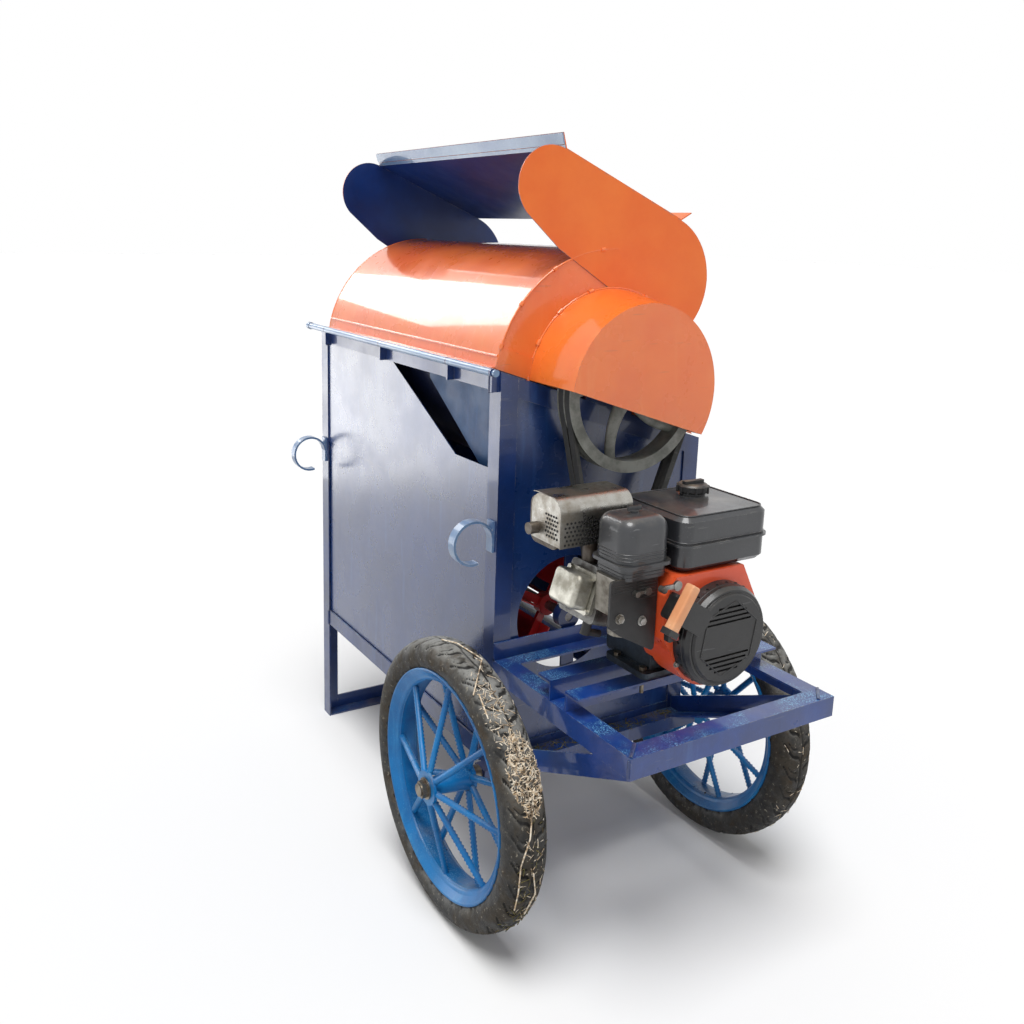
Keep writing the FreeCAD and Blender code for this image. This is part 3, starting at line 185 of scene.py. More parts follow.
def paintedSteel(name, look):
    # gloss paint brushed on steel: uneven tone, painted sheen streaks and glints, chips,
    # scratches, dust on what faces up
    finish = Finish(name)
    look = {key: rgb(*value) if isinstance(value, tuple) else value
            for key, value in dict(paintBase, **look).items()}
    patches = finish.noise(look["patchScale"], 5, 0.6)
    colour = finish.mix(finish.span(patches, 0.3, 0.7), look["colour"], look["shade"])
    # painted sheen: pale upright streaks towards the lighter tone stand in for reflections
    sheenStreak = finish.noise(38, 3, 0.6, finish.stretched(1, 1, 0.12))
    sheenStreak = finish.span(sheenStreak, 0.55, 0.8, 0, look["sheenStreaks"])
    colour = finish.mix(sheenStreak, colour, look["light"])
    # painted glints: fine specks mixed towards the lighter tone
    glintSpeck = finish.noise(look["glintSpeckScale"], 2, 0.5)
    colour = finish.mix(finish.span(glintSpeck, 0.66, 0.72, 0, look["glintSpecks"]), colour, look["light"])
    # painted glints: cyan-white specks on what faces up, for the sky seen in the paint
    if look["topGlints"]:
        shine = finish.patchy(520, 3, 0.65, 0.52, 0.64)
        cloud = finish.patchy(14, 3, 0.6, 0.42, 0.62)
        shine = finish.times(finish.times(shine, cloud), finish.upward())
        colour = finish.mix(finish.times(shine, look["topGlints"]), colour, look["glint"])
    scratch = finish.noise(150, 2, 0.5, finish.stretched(0.08, 1, 1, (0.5, 0.4, 0.7)))
    scratch = finish.span(scratch, 0.70, 0.74, 0, look["scratches"])
    colour = finish.mix(scratch, colour, look["bare"])
    broken = finish.patchy(55, 5, 0.7, 0.46, 0.6)
    chips = finish.times(finish.edges(look["edge"]), broken)
    spots = finish.patchy(24, 6, 0.75, 0.70, 0.73, 0, look["spots"])
    chips = finish.maths("ADD", chips, spots)
    colour = finish.mix(chips, colour, look["bare"])
    cloud = finish.patchy(16, 5, 0.6, 0.4, 0.75)
    colour = finish.dusted(colour, cloud, look["dust"], look["dustTone"])
    rough = finish.patchy(9, 4, 0.6, 0.3, 0.7, look["rough"] - 0.08,
                        look["rough"] + 0.12)
    finish.bump(finish.noise(look["dentScale"], 2, 0.4), look["dents"], 0.6)
    finish.bump(finish.noise(330, 2, 0.5), 0.0004, 0.35)
    finish.bump(chips, 0.0005, -0.4)
    return finish.done(colour, rough, 0.0, look["coat"], look["specular"], look["coatRough"])


def castMetal(name, values):
    # cast or machined metal: grain, stains in the hollows, brighter worn edges
    finish = Finish(name)
    clean, stained, bright, base, changes = values
    look = dict(metalBase, **changes)
    stain = finish.noise(look["stainScale"], 5, 0.65)
    colour = finish.mix(finish.span(stain, 0.35, 0.7), rgb(*clean), rgb(*stained))
    worn = finish.times(finish.edges(0.0015), finish.patchy(80, 3.0, 0.55, 0.35, 0.6))
    colour = finish.mix(finish.times(worn, look["wear"]), colour, rgb(*bright))
    cloud = finish.patchy(40, 4, 0.55, 0.45, 0.7)
    colour = finish.dusted(colour, cloud, look["dust"], look["dustTone"])
    finish.bump(finish.noise(look["grain"], 3, 0.6), 0.0004, look["grainDepth"])
    finish.bump(finish.noise(40, 3, 0.5), 0.001, 0.25)
    rough = finish.span(stain, 0.3, 0.7, base - 0.1, base + 0.12)
    return finish.done(colour, rough, look["metallic"])


def mouldedPlastic(name, values):
    # moulded plastic: fine grain, slight sheen changes, scuffs on edges, dust on top
    finish = Finish(name)
    main, shade, scuffed, base, changes = values
    look = dict(plasticBase, **changes)
    patches = finish.noise(12, 4, 0.6)
    colour = finish.mix(finish.span(patches, 0.35, 0.7), rgb(*main), rgb(*shade))
    scuff = finish.times(finish.edges(0.0012), finish.patchy(70, 4, 0.55, 0.4, 0.6))
    scratch = finish.span(finish.noise(180, 2, 0.5, finish.stretched(0.1, 1, 1, (0.3, 0.9, 0.2))),
                          0.68, 0.73, 0, 0.4)
    scuff = finish.maths("ADD", finish.times(scuff, 0.5), scratch)
    colour = finish.mix(scuff, colour, rgb(*scuffed))
    cloud = finish.patchy(30, 5, 0.65, 0.4, 0.7)
    colour = finish.dusted(colour, cloud, look["dust"], look["dustTone"], 0.2, 0.9)
    finish.bump(finish.noise(look["grain"], 2, 0.5), 0.0003, 0.4)
    rough = finish.span(patches, 0.3, 0.7, base - 0.06, base + 0.1)
    return finish.done(colour, rough, 0.0, look["coat"])


# Paints: three numbers are a colour from 0-255 screen values; the lighter tone is the colour of
# the painted sheen streaks and glints
blueLook = {"colour": (14, 50, 112), "shade": (10, 36, 84), "light": (60, 104, 165),
            "glint": (130, 200, 240), "bare": (120, 120, 122), "rough": 0.34, "coat": 0.6}
paints = {
    "frame_paint": dict(blueLook, topGlints=0.5),
    "platform_paint": dict(blueLook, colour=(12, 60, 138), shade=(10, 44, 104), topGlints=0.95,
                           dust=0.1),
    "panel_paint": dict(blueLook, colour=(20, 54, 112), shade=(14, 42, 92), rough=0.28,
                        dents=0.006, dentScale=4, patchScale=4, coat=0.95, coatRough=0.24),
    # inner sheets: a lighter blue than the panels, painted light for where light falls in through
    # the window
    "inner_paint": dict(blueLook, colour=(34, 82, 130), shade=(22, 58, 104), rough=0.5, coat=0.0),
    "concave_paint": dict(blueLook, colour=(20, 30, 66), shade=(14, 20, 46), rough=0.55),
    "drum_paint": dict(blueLook, colour=(22, 38, 84), shade=(14, 24, 56), rough=0.5),
    "bearing_cast": dict(blueLook, colour=(22, 44, 96), rough=0.45),
    "hook_steel": dict(blueLook, colour=(112, 142, 174), shade=(80, 112, 156),
                       light=(170, 190, 205), bare=(190, 190, 190), rough=0.35),
    "cover_paint": {"colour": (244, 124, 46), "shade": (236, 106, 34), "light": (248, 164, 96),
                    "bare": (150, 96, 70), "rough": 0.27, "spots": 0.15, "scratches": 0.2,
                    "glintSpecks": 0.1, "dust": 0.05, "dentScale": 4, "coat": 0.9, "patchScale": 4},
    "wheel_paint": {"colour": (0, 118, 184), "shade": (0, 86, 146), "light": (100, 190, 226),
                    "glint": (160, 220, 242), "bare": (86, 74, 58), "rough": 0.34,
                    "topGlints": 0.5, "spots": 0.6, "dust": 0.4, "coat": 0.08,
                    "specular": 0.35, "edge": 0.002},
    "fan_paint": {"colour": (210, 38, 40), "shade": (178, 28, 30), "light": (225, 90, 84),
                  "bare": (90, 70, 64), "rough": 0.4, "coat": 0.2},
    "shroud_paint": {"colour": (232, 90, 44), "shade": (218, 74, 34), "light": (240, 130, 90),
                     "bare": (130, 60, 40), "rough": 0.33, "spots": 0.15, "scratches": 0.25,
                     "glintSpecks": 0.1, "coat": 0.35, "dents": 0.001},
    "tank_paint": {"colour": (48, 50, 54), "shade": (36, 38, 42), "light": (110, 112, 116),
                   "bare": (120, 118, 114), "rough": 0.34, "spots": 0.1, "dents": 0.001,
                   "coat": 0.5, "dust": 0.12, "scratches": 0.2},
}
paints["guard_paint"] = paints["cover_paint"]
# Metals: colour, stain, worn edge, roughness, and what differs from metalBase
metals = {
    "bright_steel": ((140, 132, 118), (84, 70, 54), (225, 225, 225), 0.36, {}),
    "shaft_steel": ((150, 150, 150), (96, 86, 76), (210, 210, 210), 0.38, {}),
    "cast_grey": ((140, 141, 134), (98, 99, 93), (184, 182, 176), 0.5,
                  {"metallic": 0.0, "grain": 500, "grainDepth": 0.8}),
    "tooth_steel": ((140, 136, 130), (86, 66, 50), (200, 198, 194), 0.42, {}),
    "case_metal": ((64, 74, 84), (38, 42, 46), (130, 138, 144), 0.42, {"metallic": 0.4}),
    "cylinder_metal": ((120, 120, 118), (66, 62, 58), (190, 190, 188), 0.48, {"metallic": 0.7}),
    "valve_metal": ((196, 194, 184), (140, 136, 124), (235, 234, 228), 0.4, {"metallic": 0.75}),
    "carburettor_metal": ((150, 146, 138), (90, 84, 74), (205, 203, 198), 0.45,
                          {"metallic": 0.8}),
    "muffler_steel": ((110, 104, 98), (70, 58, 48), (170, 168, 164), 0.5, {"metallic": 0.8}),
    "guard_steel": ((180, 178, 172), (130, 122, 110), (225, 225, 222), 0.33, {}),
    "lever_steel": ((170, 170, 168), (110, 104, 96), (220, 220, 220), 0.35, {}),
}
# Plastics and rubber: colour, shade, scuff, roughness, and what differs from plasticBase
plastics = {
    "recoil_plastic": ((28, 28, 29), (18, 18, 19), (90, 90, 92), 0.36,
                       {"dust": 0.08, "coat": 0.1}),
    "grip_plastic": ((228, 168, 124), (216, 146, 100), (242, 212, 186), 0.4, {"dust": 0.1}),
    "cap_plastic": ((36, 36, 38), (26, 26, 28), (90, 90, 92), 0.45, {}),
    "cleaner_plastic": ((50, 52, 56), (38, 40, 44), (120, 120, 122), 0.34,
                        {"coat": 0.5, "dust": 0.15}),
    "panel_plastic": ((32, 32, 33), (22, 22, 23), (92, 92, 94), 0.4, {"dust": 0.2}),
    "switch_plastic": ((150, 24, 20), (120, 16, 14), (190, 90, 80), 0.35, {}),
    "belt_rubber": ((62, 62, 60), (44, 44, 42), (100, 98, 92), 0.7, {"dust": 0.5}),
    "boot_rubber": ((34, 34, 36), (24, 24, 26), (80, 80, 82), 0.6, {}),
}


def tyreRubber():
    # dark rubber under dried mud that lies in patches; the grooves are darker still, which is
    # painted shade
    finish = Finish("tyre")
    mud = finish.span(finish.noise(11, 6, 0.68, None, 0.6), 0.42, 0.62)
    caked = finish.patchy(34, 5, 0.7, 0.52, 0.66)
    colour = finish.mix(finish.patchy(60, 4, 0.55, 0.35, 0.7), rgb(30, 30, 30),
                        rgb(54, 53, 51))
    colour = finish.mix(finish.times(mud, 0.5), colour, rgb(80, 72, 60))
    colour = finish.mix(finish.times(caked, mud), colour, rgb(66, 54, 40))
    cloud = finish.patchy(22, 4, 0.55, 0.35, 0.6)
    colour = finish.dusted(colour, cloud, 0.8, rgb(150, 150, 146), 0.0, 1.0)
    grit = finish.patchy(210, 4, 0.7, 0.55, 0.66, 0, 0.55)
    colour = finish.mix(grit, colour, rgb(30, 28, 26))
    pale = finish.patchy(120, 4, 0.75, 0.60, 0.70, 0, 0.7)
    colour = finish.mix(pale, colour, rgb(168, 160, 142))
    # painted shade: near black in the tread grooves, by how deep each point sinks
    grooveShade = finish.add("ShaderNodeAttribute", {}, attribute_name="grooveShade").outputs["Fac"]
    colour = finish.mix(finish.span(grooveShade, 0.05, 0.5, 0, 0.92), colour, rgb(18, 17, 17))
    finish.bump(finish.noise(90, 5, 0.7), 0.004, 0.7)
    finish.bump(finish.noise(400, 3, 0.6), 0.0012, 0.6)
    rough = finish.span(mud, 0, 1, 0.62, 0.95)
    return finish.done(colour, rough, 0.0, 0.0, 0.35)


def hoodFinish():
    # orange outside, dark blue where the face looks into the hood
    finish = Finish("hood_paint")
    look = paints["cover_paint"]
    hoodMiddle = 0.19
    normal = finish.facing()
    faceY, faceZ = finish.part(normal, "Y"), finish.part(normal, "Z")
    # a front cheek faces in along +y, a rear one along -y, and the plate faces in downwards
    frontHalf = finish.maths("LESS_THAN", finish.part(finish.place, "Y"), hoodMiddle)
    rearHalf = finish.maths("SUBTRACT", 1.0, frontHalf)
    inFront = finish.times(finish.span(faceY, 0.45, 0.55), frontHalf)
    inRear = finish.times(finish.span(finish.times(faceY, -1.0), 0.45, 0.55), rearHalf)
    under = finish.span(finish.times(faceZ, -1.0), 0.2, 0.3)
    inside = finish.maths("ADD", finish.maths("ADD", inFront, inRear), under)
    patches = finish.patchy(5, 5, 0.6, 0.3, 0.7)
    outer = finish.mix(patches, rgb(*look["colour"]), rgb(*look["shade"]))
    inner = finish.mix(patches, rgb(14, 50, 116), rgb(10, 34, 88))
    colour = finish.mix(inside, outer, inner)
    chips = finish.times(finish.edges(0.003), finish.patchy(60, 5, 0.7, 0.45, 0.6))
    colour = finish.mix(chips, colour, rgb(130, 120, 120))
    finish.bump(finish.noise(4, 2, 0.4), 0.005, 0.5)
    finish.bump(finish.noise(330, 2, 0.5), 0.0004, 0.3)
    rough = finish.patchy(9, 4, 0.6, 0.3, 0.7, 0.3, 0.44)
    return finish.done(colour, rough, 0.0, 0.15, 0.4, 0.2)


def strawFinish(name, first, second):
    # dry stalks with dirt on some of them
    finish = Finish(name)
    colour = finish.mix(finish.patchy(150, 2, 0.55, 0.35, 0.65), first, second)
    dirty = finish.span(finish.noise(90, 3, 0.6, finish.stretched(1, 1, 1, (0.4, 0.9, 0.2))),
                        0.52, 0.62, 0, 0.75)
    colour = finish.mix(dirty, colour, rgb(84, 66, 48))
    return finish.done(colour, 0.75, 0.0, 0.0, 0.3)


finishes = {}
for make, looks in ((paintedSteel, paints), (castMetal, metals), (mouldedPlastic, plastics)):
    for name, look in looks.items():
        finishes[name] = make(name, look)
finishes["tyre"] = tyreRubber()
finishes["hood_paint"] = hoodFinish()
slotOf = {part["node"]: part["material_slot"] for part in frame["record"]["subparts"]}
for name, node in nodes.items():
    node.data.materials.clear()
    node.data.materials.append(finishes[slotOf[name]])

# Finishes of new pieces only, which the record has no slot for
finishes["straw"] = strawFinish("straw", rgb(240, 230, 212), rgb(196, 170, 136))
finishes["chaff"] = strawFinish("chaff", rgb(128, 116, 70), rgb(84, 82, 42))
# near-black finish of the discs that paint the shade seen in the guard's holes
finishes["hole"] = mouldedPlastic("hole", ((20, 20, 21), (12, 12, 13), (30, 30, 30), 0.8,
                                           {"dust": 0.1}))
finishes["bolt"] = castMetal("bolt", ((186, 186, 184), (120, 114, 104), (228, 228, 228), 0.34,
                                      {}))
print("finishes:", len(finishes))


# Trees that grow what repeats or follows a path
def newTree(name, numbers):
    tree = bpy.data.node_groups.new(name, "GeometryNodeTree")
    tree.interface.new_socket("Source", in_out="INPUT", socket_type="NodeSocketGeometry")
    for label, value in numbers.items():
        kind = "NodeSocketInt" if isinstance(value, int) else "NodeSocketFloat"
        tree.interface.new_socket(label, in_out="INPUT", socket_type=kind).default_value = value
    tree.interface.new_socket("Finish", in_out="INPUT", socket_type="NodeSocketMaterial")
    tree.interface.new_socket("Piece", in_out="OUTPUT", socket_type="NodeSocketGeometry")
    return tree, tree.nodes.new("NodeGroupInput").outputs


def closeTree(tree, given, geometry):
    real = addNode(tree, "GeometryNodeRealizeInstances", {"Geometry": geometry})
    coated = addNode(tree, "GeometryNodeSetMaterial",
                     {"Geometry": real, "Material": given["Finish"]})
    addNode(tree, "NodeGroupOutput", {"Piece": coated})
    return tree


def treeMaths(tree, kind, *values):
    return addNode(tree, "ShaderNodeMath", dict(enumerate(values)), operation=kind)


def beadTree():
    # round bar along the source's edges; ribs and lumps change its thickness on the way
    tree, given = newTree("bead", {"Radius": 0.002, "Step": 0.004, "Sides": 8, "Ribs": 0.0,
                                        "Lumps": 0.0, "Lump Scale": 120.0})
    path = addNode(tree, "GeometryNodeMeshToCurve", {"Mesh": given["Source"]})
    path = addNode(tree, "GeometryNodeResampleCurve",
                   {"Curve": path, "Length": given["Step"]}, mode="LENGTH")
    index = addNode(tree, "GeometryNodeInputIndex", {})
    odd = treeMaths(tree, "MODULO", index, 2.0)
    ribs = treeMaths(tree, "MULTIPLY", odd, given["Ribs"])
    cloud = addNode(tree, "ShaderNodeTexNoise", {"Scale": given["Lump Scale"]})
    lumps = treeMaths(tree, "MULTIPLY_ADD", cloud.outputs["Fac"], given["Lumps"], 1.0)
    swell = treeMaths(tree, "ADD", ribs, lumps)
    ring = addNode(tree, "GeometryNodeCurvePrimitiveCircle",
                   {"Resolution": given["Sides"], "Radius": given["Radius"]})
    bar = addNode(tree, "GeometryNodeCurveToMesh",
                  {"Curve": path, "Profile Curve": ring,
                   "Scale": swell, "Fill Caps": True})
    smooth = addNode(tree, "GeometryNodeSetShadeSmooth", {"Geometry": bar})
    return closeTree(tree, given, smooth)


def studTree():
    # one round or many-sided stud on each point, standing along the point's own direction
    tree, given = newTree("stud", {"Sides": 6, "Radius": 0.006, "Height": 0.004,
                                        "Lift": 0.0})
    stud = addNode(tree, "GeometryNodeMeshCylinder",
                   {"Vertices": given["Sides"], "Radius": given["Radius"],
                    "Depth": given["Height"]})
    half = treeMaths(tree, "MULTIPLY_ADD", given["Height"], 0.5, given["Lift"])
    rise = addNode(tree, "ShaderNodeCombineXYZ", {"Z": half})
    stud = addNode(tree, "GeometryNodeTransform",
                   {"Geometry": stud.outputs["Mesh"], "Translation": rise})
    facing = addNode(tree, "GeometryNodeInputNamedAttribute", {"Name": "facing"},
                     data_type="FLOAT_VECTOR")
    turn = addNode(tree, "FunctionNodeAlignRotationToVector", {"Vector": facing},
                   axis="Z")
    placed = addNode(tree, "GeometryNodeInstanceOnPoints",
                     {"Points": given["Source"], "Instance": stud,
                      "Rotation": turn})
    return closeTree(tree, given, placed)


def strawTree():
    # short bent straws scattered on a surface, lying along it
    tree, given = newTree("straw", {"Density": 9000.0, "Length": 0.022, "Thickness": 0.0007,
                                         "Stand": 0.35, "Seed": 4})
    spread = addNode(tree, "GeometryNodeDistributePointsOnFaces",
                     {"Mesh": given["Source"], "Density": given["Density"],
                      "Seed": given["Seed"]})
    bow = addNode(tree, "GeometryNodeCurveQuadraticBezier",
                  {"Resolution": 3, "Start": (-0.5, 0, 0), "Middle": (0.0, 0.07, 0.03),
                   "End": (0.5, 0, 0)})
    ring = addNode(tree, "GeometryNodeCurvePrimitiveCircle", {"Resolution": 4, "Radius": 1.0})
    thin = treeMaths(tree, "DIVIDE", given["Thickness"], given["Length"])
    stem = addNode(tree, "GeometryNodeCurveToMesh",
                   {"Curve": bow, "Profile Curve": ring,
                    "Scale": thin, "Fill Caps": True})
    spin = addNode(tree, "FunctionNodeRandomValue",
                   {0: (0.0, 0.0, 0.0), 1: (0.0, 0.0, 6.283), "Seed": 11},
                   data_type="FLOAT_VECTOR")
    lean = addNode(tree, "FunctionNodeRandomValue", {2: -1.0, 3: 1.0, "Seed": 23},
                   data_type="FLOAT")
    lean = treeMaths(tree, "MULTIPLY", lean.outputs[1], given["Stand"])
    tip = addNode(tree, "ShaderNodeCombineXYZ", {"Y": lean})
    turn = spread
    for euler in (spin, tip):
        bend = addNode(tree, "FunctionNodeEulerToRotation", {"Euler": euler})
        turn = addNode(tree, "FunctionNodeRotateRotation",
                       {"Rotation": turn.outputs["Rotation"], "Rotate By": bend},
                       rotation_space="LOCAL")
    size = addNode(tree, "FunctionNodeRandomValue", {2: 0.45, 3: 1.25, "Seed": 5},
                   data_type="FLOAT")
    size = treeMaths(tree, "MULTIPLY", size.outputs[1], given["Length"])
    placed = addNode(tree, "GeometryNodeInstanceOnPoints",
                     {"Points": spread.outputs["Points"], "Instance": stem,
                      "Rotation": turn, "Scale": size})
    return closeTree(tree, given, placed)


trees = {"bead": beadTree(), "stud": studTree(), "straw": strawTree()}


def newObject(name, data):
    obj = bpy.data.objects.new(name, data)
    bpy.context.scene.collection.objects.link(obj)
    return obj


def keepPiece(name, mesh, body, finishName):
    # the piece takes the named finish unless its mesh already carries one
    if not mesh.materials:
        mesh.materials.append(finishes[finishName])
    obj = newObject(name, mesh)
    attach(obj, body)
    return obj


def grow(name, treeName, source, sizes, finishName, body):
    # runs a tree on a source mesh and keeps the result as a plain mesh
    obj = newObject(name, source)
    modifier = obj.modifiers.new(name, "NODES")
    tree = trees[treeName]
    modifier.node_group = tree
    values = dict(sizes, Finish=finishes[finishName])
    for item in tree.interface.items_tree:
        if item.item_type == "SOCKET" and item.in_out == "INPUT" and item.name in values:
            modifier[item.identifier] = values[item.name]
    shape = bpy.data.meshes.new_from_object(
        obj.evaluated_get(bpy.context.evaluated_depsgraph_get()))
    bpy.data.objects.remove(obj)
    return keepPiece(name, shape, body, finishName)


def newMesh(name, points, edges, faces):
    mesh = bpy.data.meshes.new(name)
    mesh.from_pydata(points, edges, faces)
    return mesh


def turnOutward(mesh):
    bm = bmesh.new()
    bm.from_mesh(mesh)
    bmesh.ops.recalc_face_normals(bm, faces=bm.faces)
    bm.to_mesh(mesh)
    bm.free()
    return mesh


def pathMesh(paths):
    # each path is a list of points; a path that ends on its first point is closed
    points, edges = [], []
    for path in paths:
        first = len(points)
        closed = (Vector(path[0]) - Vector(path[-1])).length < 1e-6
        points += path[:-1] if closed else path
        edges += [(i, i + 1) for i in range(first, len(points) - 1)]
        if closed:
            edges.append((len(points) - 1, first))
    return newMesh("path", points, edges, [])


def pointMesh(places):
    # places are pairs of a point and the way it faces
    mesh = newMesh("points", [place for place, facing in places], [], [])
    facings = mesh.attributes.new("facing", "FLOAT_VECTOR", "POINT")
    for i, (place, facing) in enumerate(places):
        facings.data[i].vector = facing
    return mesh


def around(a, b, radius, degrees):
    # a point on a circle about (a, b)
    turn = math.radians(degrees)
    return a + radius * math.cos(turn), b + radius * math.sin(turn)


def arcXZ(x, z, radius, first, last, y, steps=40):
    path = []
    for i in range(steps + 1):
        px, pz = around(x, z, radius, first + (last - first) * i / steps)
        path.append((px, y, pz))
    return path


def roundedLoop(x0, x1, y0, y1, z, corner, steps=6):
    # level loop with round corners
    path = []
    for cx, cy, turn in ((x1 - corner, y1 - corner, 0), (x0 + corner, y1 - corner, 90),
                         (x0 + corner, y0 + corner, 180), (x1 - corner, y0 + corner, 270)):
        for i in range(steps + 1):
            path.append((*around(cx, cy, corner, turn + 90 * i / steps), z))
    return path + [path[0]]


def slabMesh(name, outline, low, high, axis=1):
    # an outline in one plane, pushed along the axis (0 for x, 1 for y)
    points = []
    for depth in (low, high):
        for a, b in outline:
            spot = [a, b]
            spot.insert(axis, depth)
            points.append(spot)
    count = len(outline)
    faces = [range(count), range(count, 2 * count)]
    for i in range(count):
        j = (i + 1) % count
        faces.append((i, j, count + j, count + i))
    return turnOutward(newMesh(name, points, [], faces))


def ringMesh(name, rows, points):
    # closed ring through columns of points, with so many rows in each
    faces = []
    columns = len(points) // rows
    for i in range(columns):
        here, there = i * rows, (i + 1) % columns * rows
        for k in range(rows):
            after = (k + 1) % rows
            faces.append((here + k, here + after, there + after, there + k))
    mesh = turnOutward(newMesh(name, points, [], faces))
    mesh.shade_smooth()
    return mesh


wheelSides = {"left": -1, "right": 1}


def wheelPoint(side, across, radius, turn):
    # a point of a wheel: turn in radians from the rear over the top
    return (side * machine["wheelX"] + across, machine["axleY"] + radius * math.cos(turn),
            machine["axleZ"] + radius * math.sin(turn))


# Tyres: rounded section with slanting worn grooves and lumps of mud
tyreLook = {
    "radius": 0.288,
    "halfWidth": 0.042,
    "columns": 432,
    "rowsPerStep": 5,
    "grooveDepth": 0.0065,
    "groovePitch": 0.052,
    "grooveWidth": 0.0046,
    "treadReach": 0.037,
    "ribReach": 0.006,
    "secondFrom": 0.012,
    "secondTo": 0.030,
    "secondShift": 0.017,
    "centreWidth": 0.0022,
    "slant": 1.25,
    "mud": 0.0022,
    "shift": {"left": 0.0, "right": 3.1},
    "half": [(-0.018, 0.207), (-0.033, 0.230), (-0.040, 0.244), (-0.0412, 0.260),
             (-0.0345, 0.2765), (-0.0210, 0.2842), (-0.0070, 0.2868)],
}


def mirrored(half):
    return half + [(-x, radius) for x, radius in reversed(half) if x]


def smoothSection(points, steps):
    # rounded line through the points
    line = []
    last = len(points) - 1
    for i in range(last):
        a, b = Vector(points[max(i - 1, 0)]), Vector(points[i])
        c, d = Vector(points[i + 1]), Vector(points[min(i + 2, last)])
        for k in range(steps):
            t = k / steps
            line.append(0.5 * ((2 * b) + (c - a) * t + (2 * a - 5 * b + 4 * c - d) * t * t
                               + (3 * b - a - 3 * c + d) * t ** 3))
    return line + [Vector(points[last])]


def groove(distance, width):
    return max(0.0, 1 - (distance / width) ** 2)


def treadDepth(along, across, turn):
    # how far the surface sinks at a place on the tread, in metres
    look = tyreLook
    reach, pitch = abs(across), look["groovePitch"]
    worn = 0.65 + 0.5 * noise.noise((turn * 3, across * 30, 1.7))
    depth = 0.0
    if reach < look["treadReach"]:
        # slanting grooves that bend back towards the shoulder
        run = along + look["slant"] * reach + 0.006 * math.sin(reach * 190)
        half = 0.5 * pitch * (1 if across > 0 else 0)
        gap = abs((run + half) % pitch - pitch / 2)
        if reach > look["ribReach"]:
            depth = groove(gap, look["grooveWidth"])
        second = abs((run + half + look["secondShift"]) % pitch - pitch / 2)
        if look["secondFrom"] < reach < look["secondTo"]:
            depth = max(depth, 0.8 * groove(second, 0.6 * look["grooveWidth"]))
        centre = abs(across - 0.0025 * math.sin(along * 60))
        depth = max(depth, groove(centre, look["centreWidth"]) * 0.8)
    return depth * look["grooveDepth"] * min(max(worn, 0.25), 1.0)


def makeTyre(word, side):
    look = tyreLook
    shift = look["shift"][word]
    wallStart, wallEnd, margin = 0.232, 0.272, 0.0002
    section = smoothSection(mirrored(look["half"]), look["rowsPerStep"])
    points, hollows = [], []
    for i in range(look["columns"]):
        turn = 2 * math.pi * i / look["columns"]
        for across, radius in section:
            spot = Vector((side * machine["wheelX"] + across, math.cos(turn) * radius,
                           math.sin(turn) * radius))
            sink = treadDepth(turn * look["radius"], across, turn + shift)
            # how deep the point sinks, kept for the painted shade in the grooves
            hollows.append(min(1.0, sink / look["grooveDepth"] * 1.4))
            lump = 0.0
            if radius > wallStart:
                lump = noise.fractal(spot * 26 + Vector((shift, 0, 0)), 0.7, 2.2, 4)
                lump = look["mud"] * (0.35 * lump - 0.25)
            reach = min(radius - sink + lump, look["radius"] - 0.0003)
            wide = across
            if wallStart < radius < wallEnd:
                wide = across + math.copysign(0.4 * lump, across)
            limit = look["halfWidth"] - margin
            points.append(wheelPoint(side, max(-limit, min(limit, wide)), reach, turn))
    mesh = ringMesh(word + "Tread", len(section), points)
    mesh.attributes.new("grooveShade", "FLOAT", "POINT").data.foreach_set("value", hollows)
    tyre = keepPiece(word + "Tread", mesh, "wheel_" + word, "tyre")
    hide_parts(word + "_tyre")


# Rolled rim skin: rounded lip, dished side and flat bed
rimLook = {
    "columns": 180,
    "half": [(-0.0352, 0.2305), (-0.0372, 0.2290), (-0.0374, 0.2262), (-0.0352, 0.2240),
             (-0.0325, 0.2222), (-0.0290, 0.2180), (-0.0262, 0.2130), (-0.0240, 0.2078),
             (-0.0215, 0.2048), (-0.0185, 0.2042), (-0.0150, 0.2026), (-0.0100, 0.2022),
             (0.0, 0.2022)],
}


def makeRim(word, side):
    section = mirrored(rimLook["half"])
    points = []
    for i in range(rimLook["columns"]):
        turn = 2 * math.pi * i / rimLook["columns"]
        points += [wheelPoint(side, x, r, turn) for x, r in section]
    keepPiece(word + "RimSkin", ringMesh(word + "RimSkin", len(section), points),
              "wheel_" + word, "wheel_paint")


# Ribbed steel bar over the plain spokes of each wheel, which lean outward and inward by turns
spokeLook = {
    "count": 16,
    "hubRadius": 0.027,
    "rimRadius": 0.2035,
    "hubX": (0.056, -0.028),
    "rimX": (0.014, -0.014),
    "bar": {"Radius": 0.0050, "Step": 0.0038, "Sides": 8, "Ribs": 0.42, "Lumps": 0.1,
            "Lump Scale": 160.0},
}


def makeSpokes(word, side):
    look = spokeLook
    lines = []
    for i in range(look["count"]):
        turn = math.radians(360 / look["count"] * i)
        lines.append([wheelPoint(side, side * look["hubX"][i % 2], look["hubRadius"], turn),
                      wheelPoint(side, side * look["rimX"][i % 2], look["rimRadius"], turn)])
    grow(word + "SpokeBars", "bead", pathMesh(lines), look["bar"], "wheel_paint",
         "wheel_" + word)


for make in (makeTyre, makeRim, makeSpokes):
    for word, side in wheelSides.items():
        make(word, side)
print("wheels made")

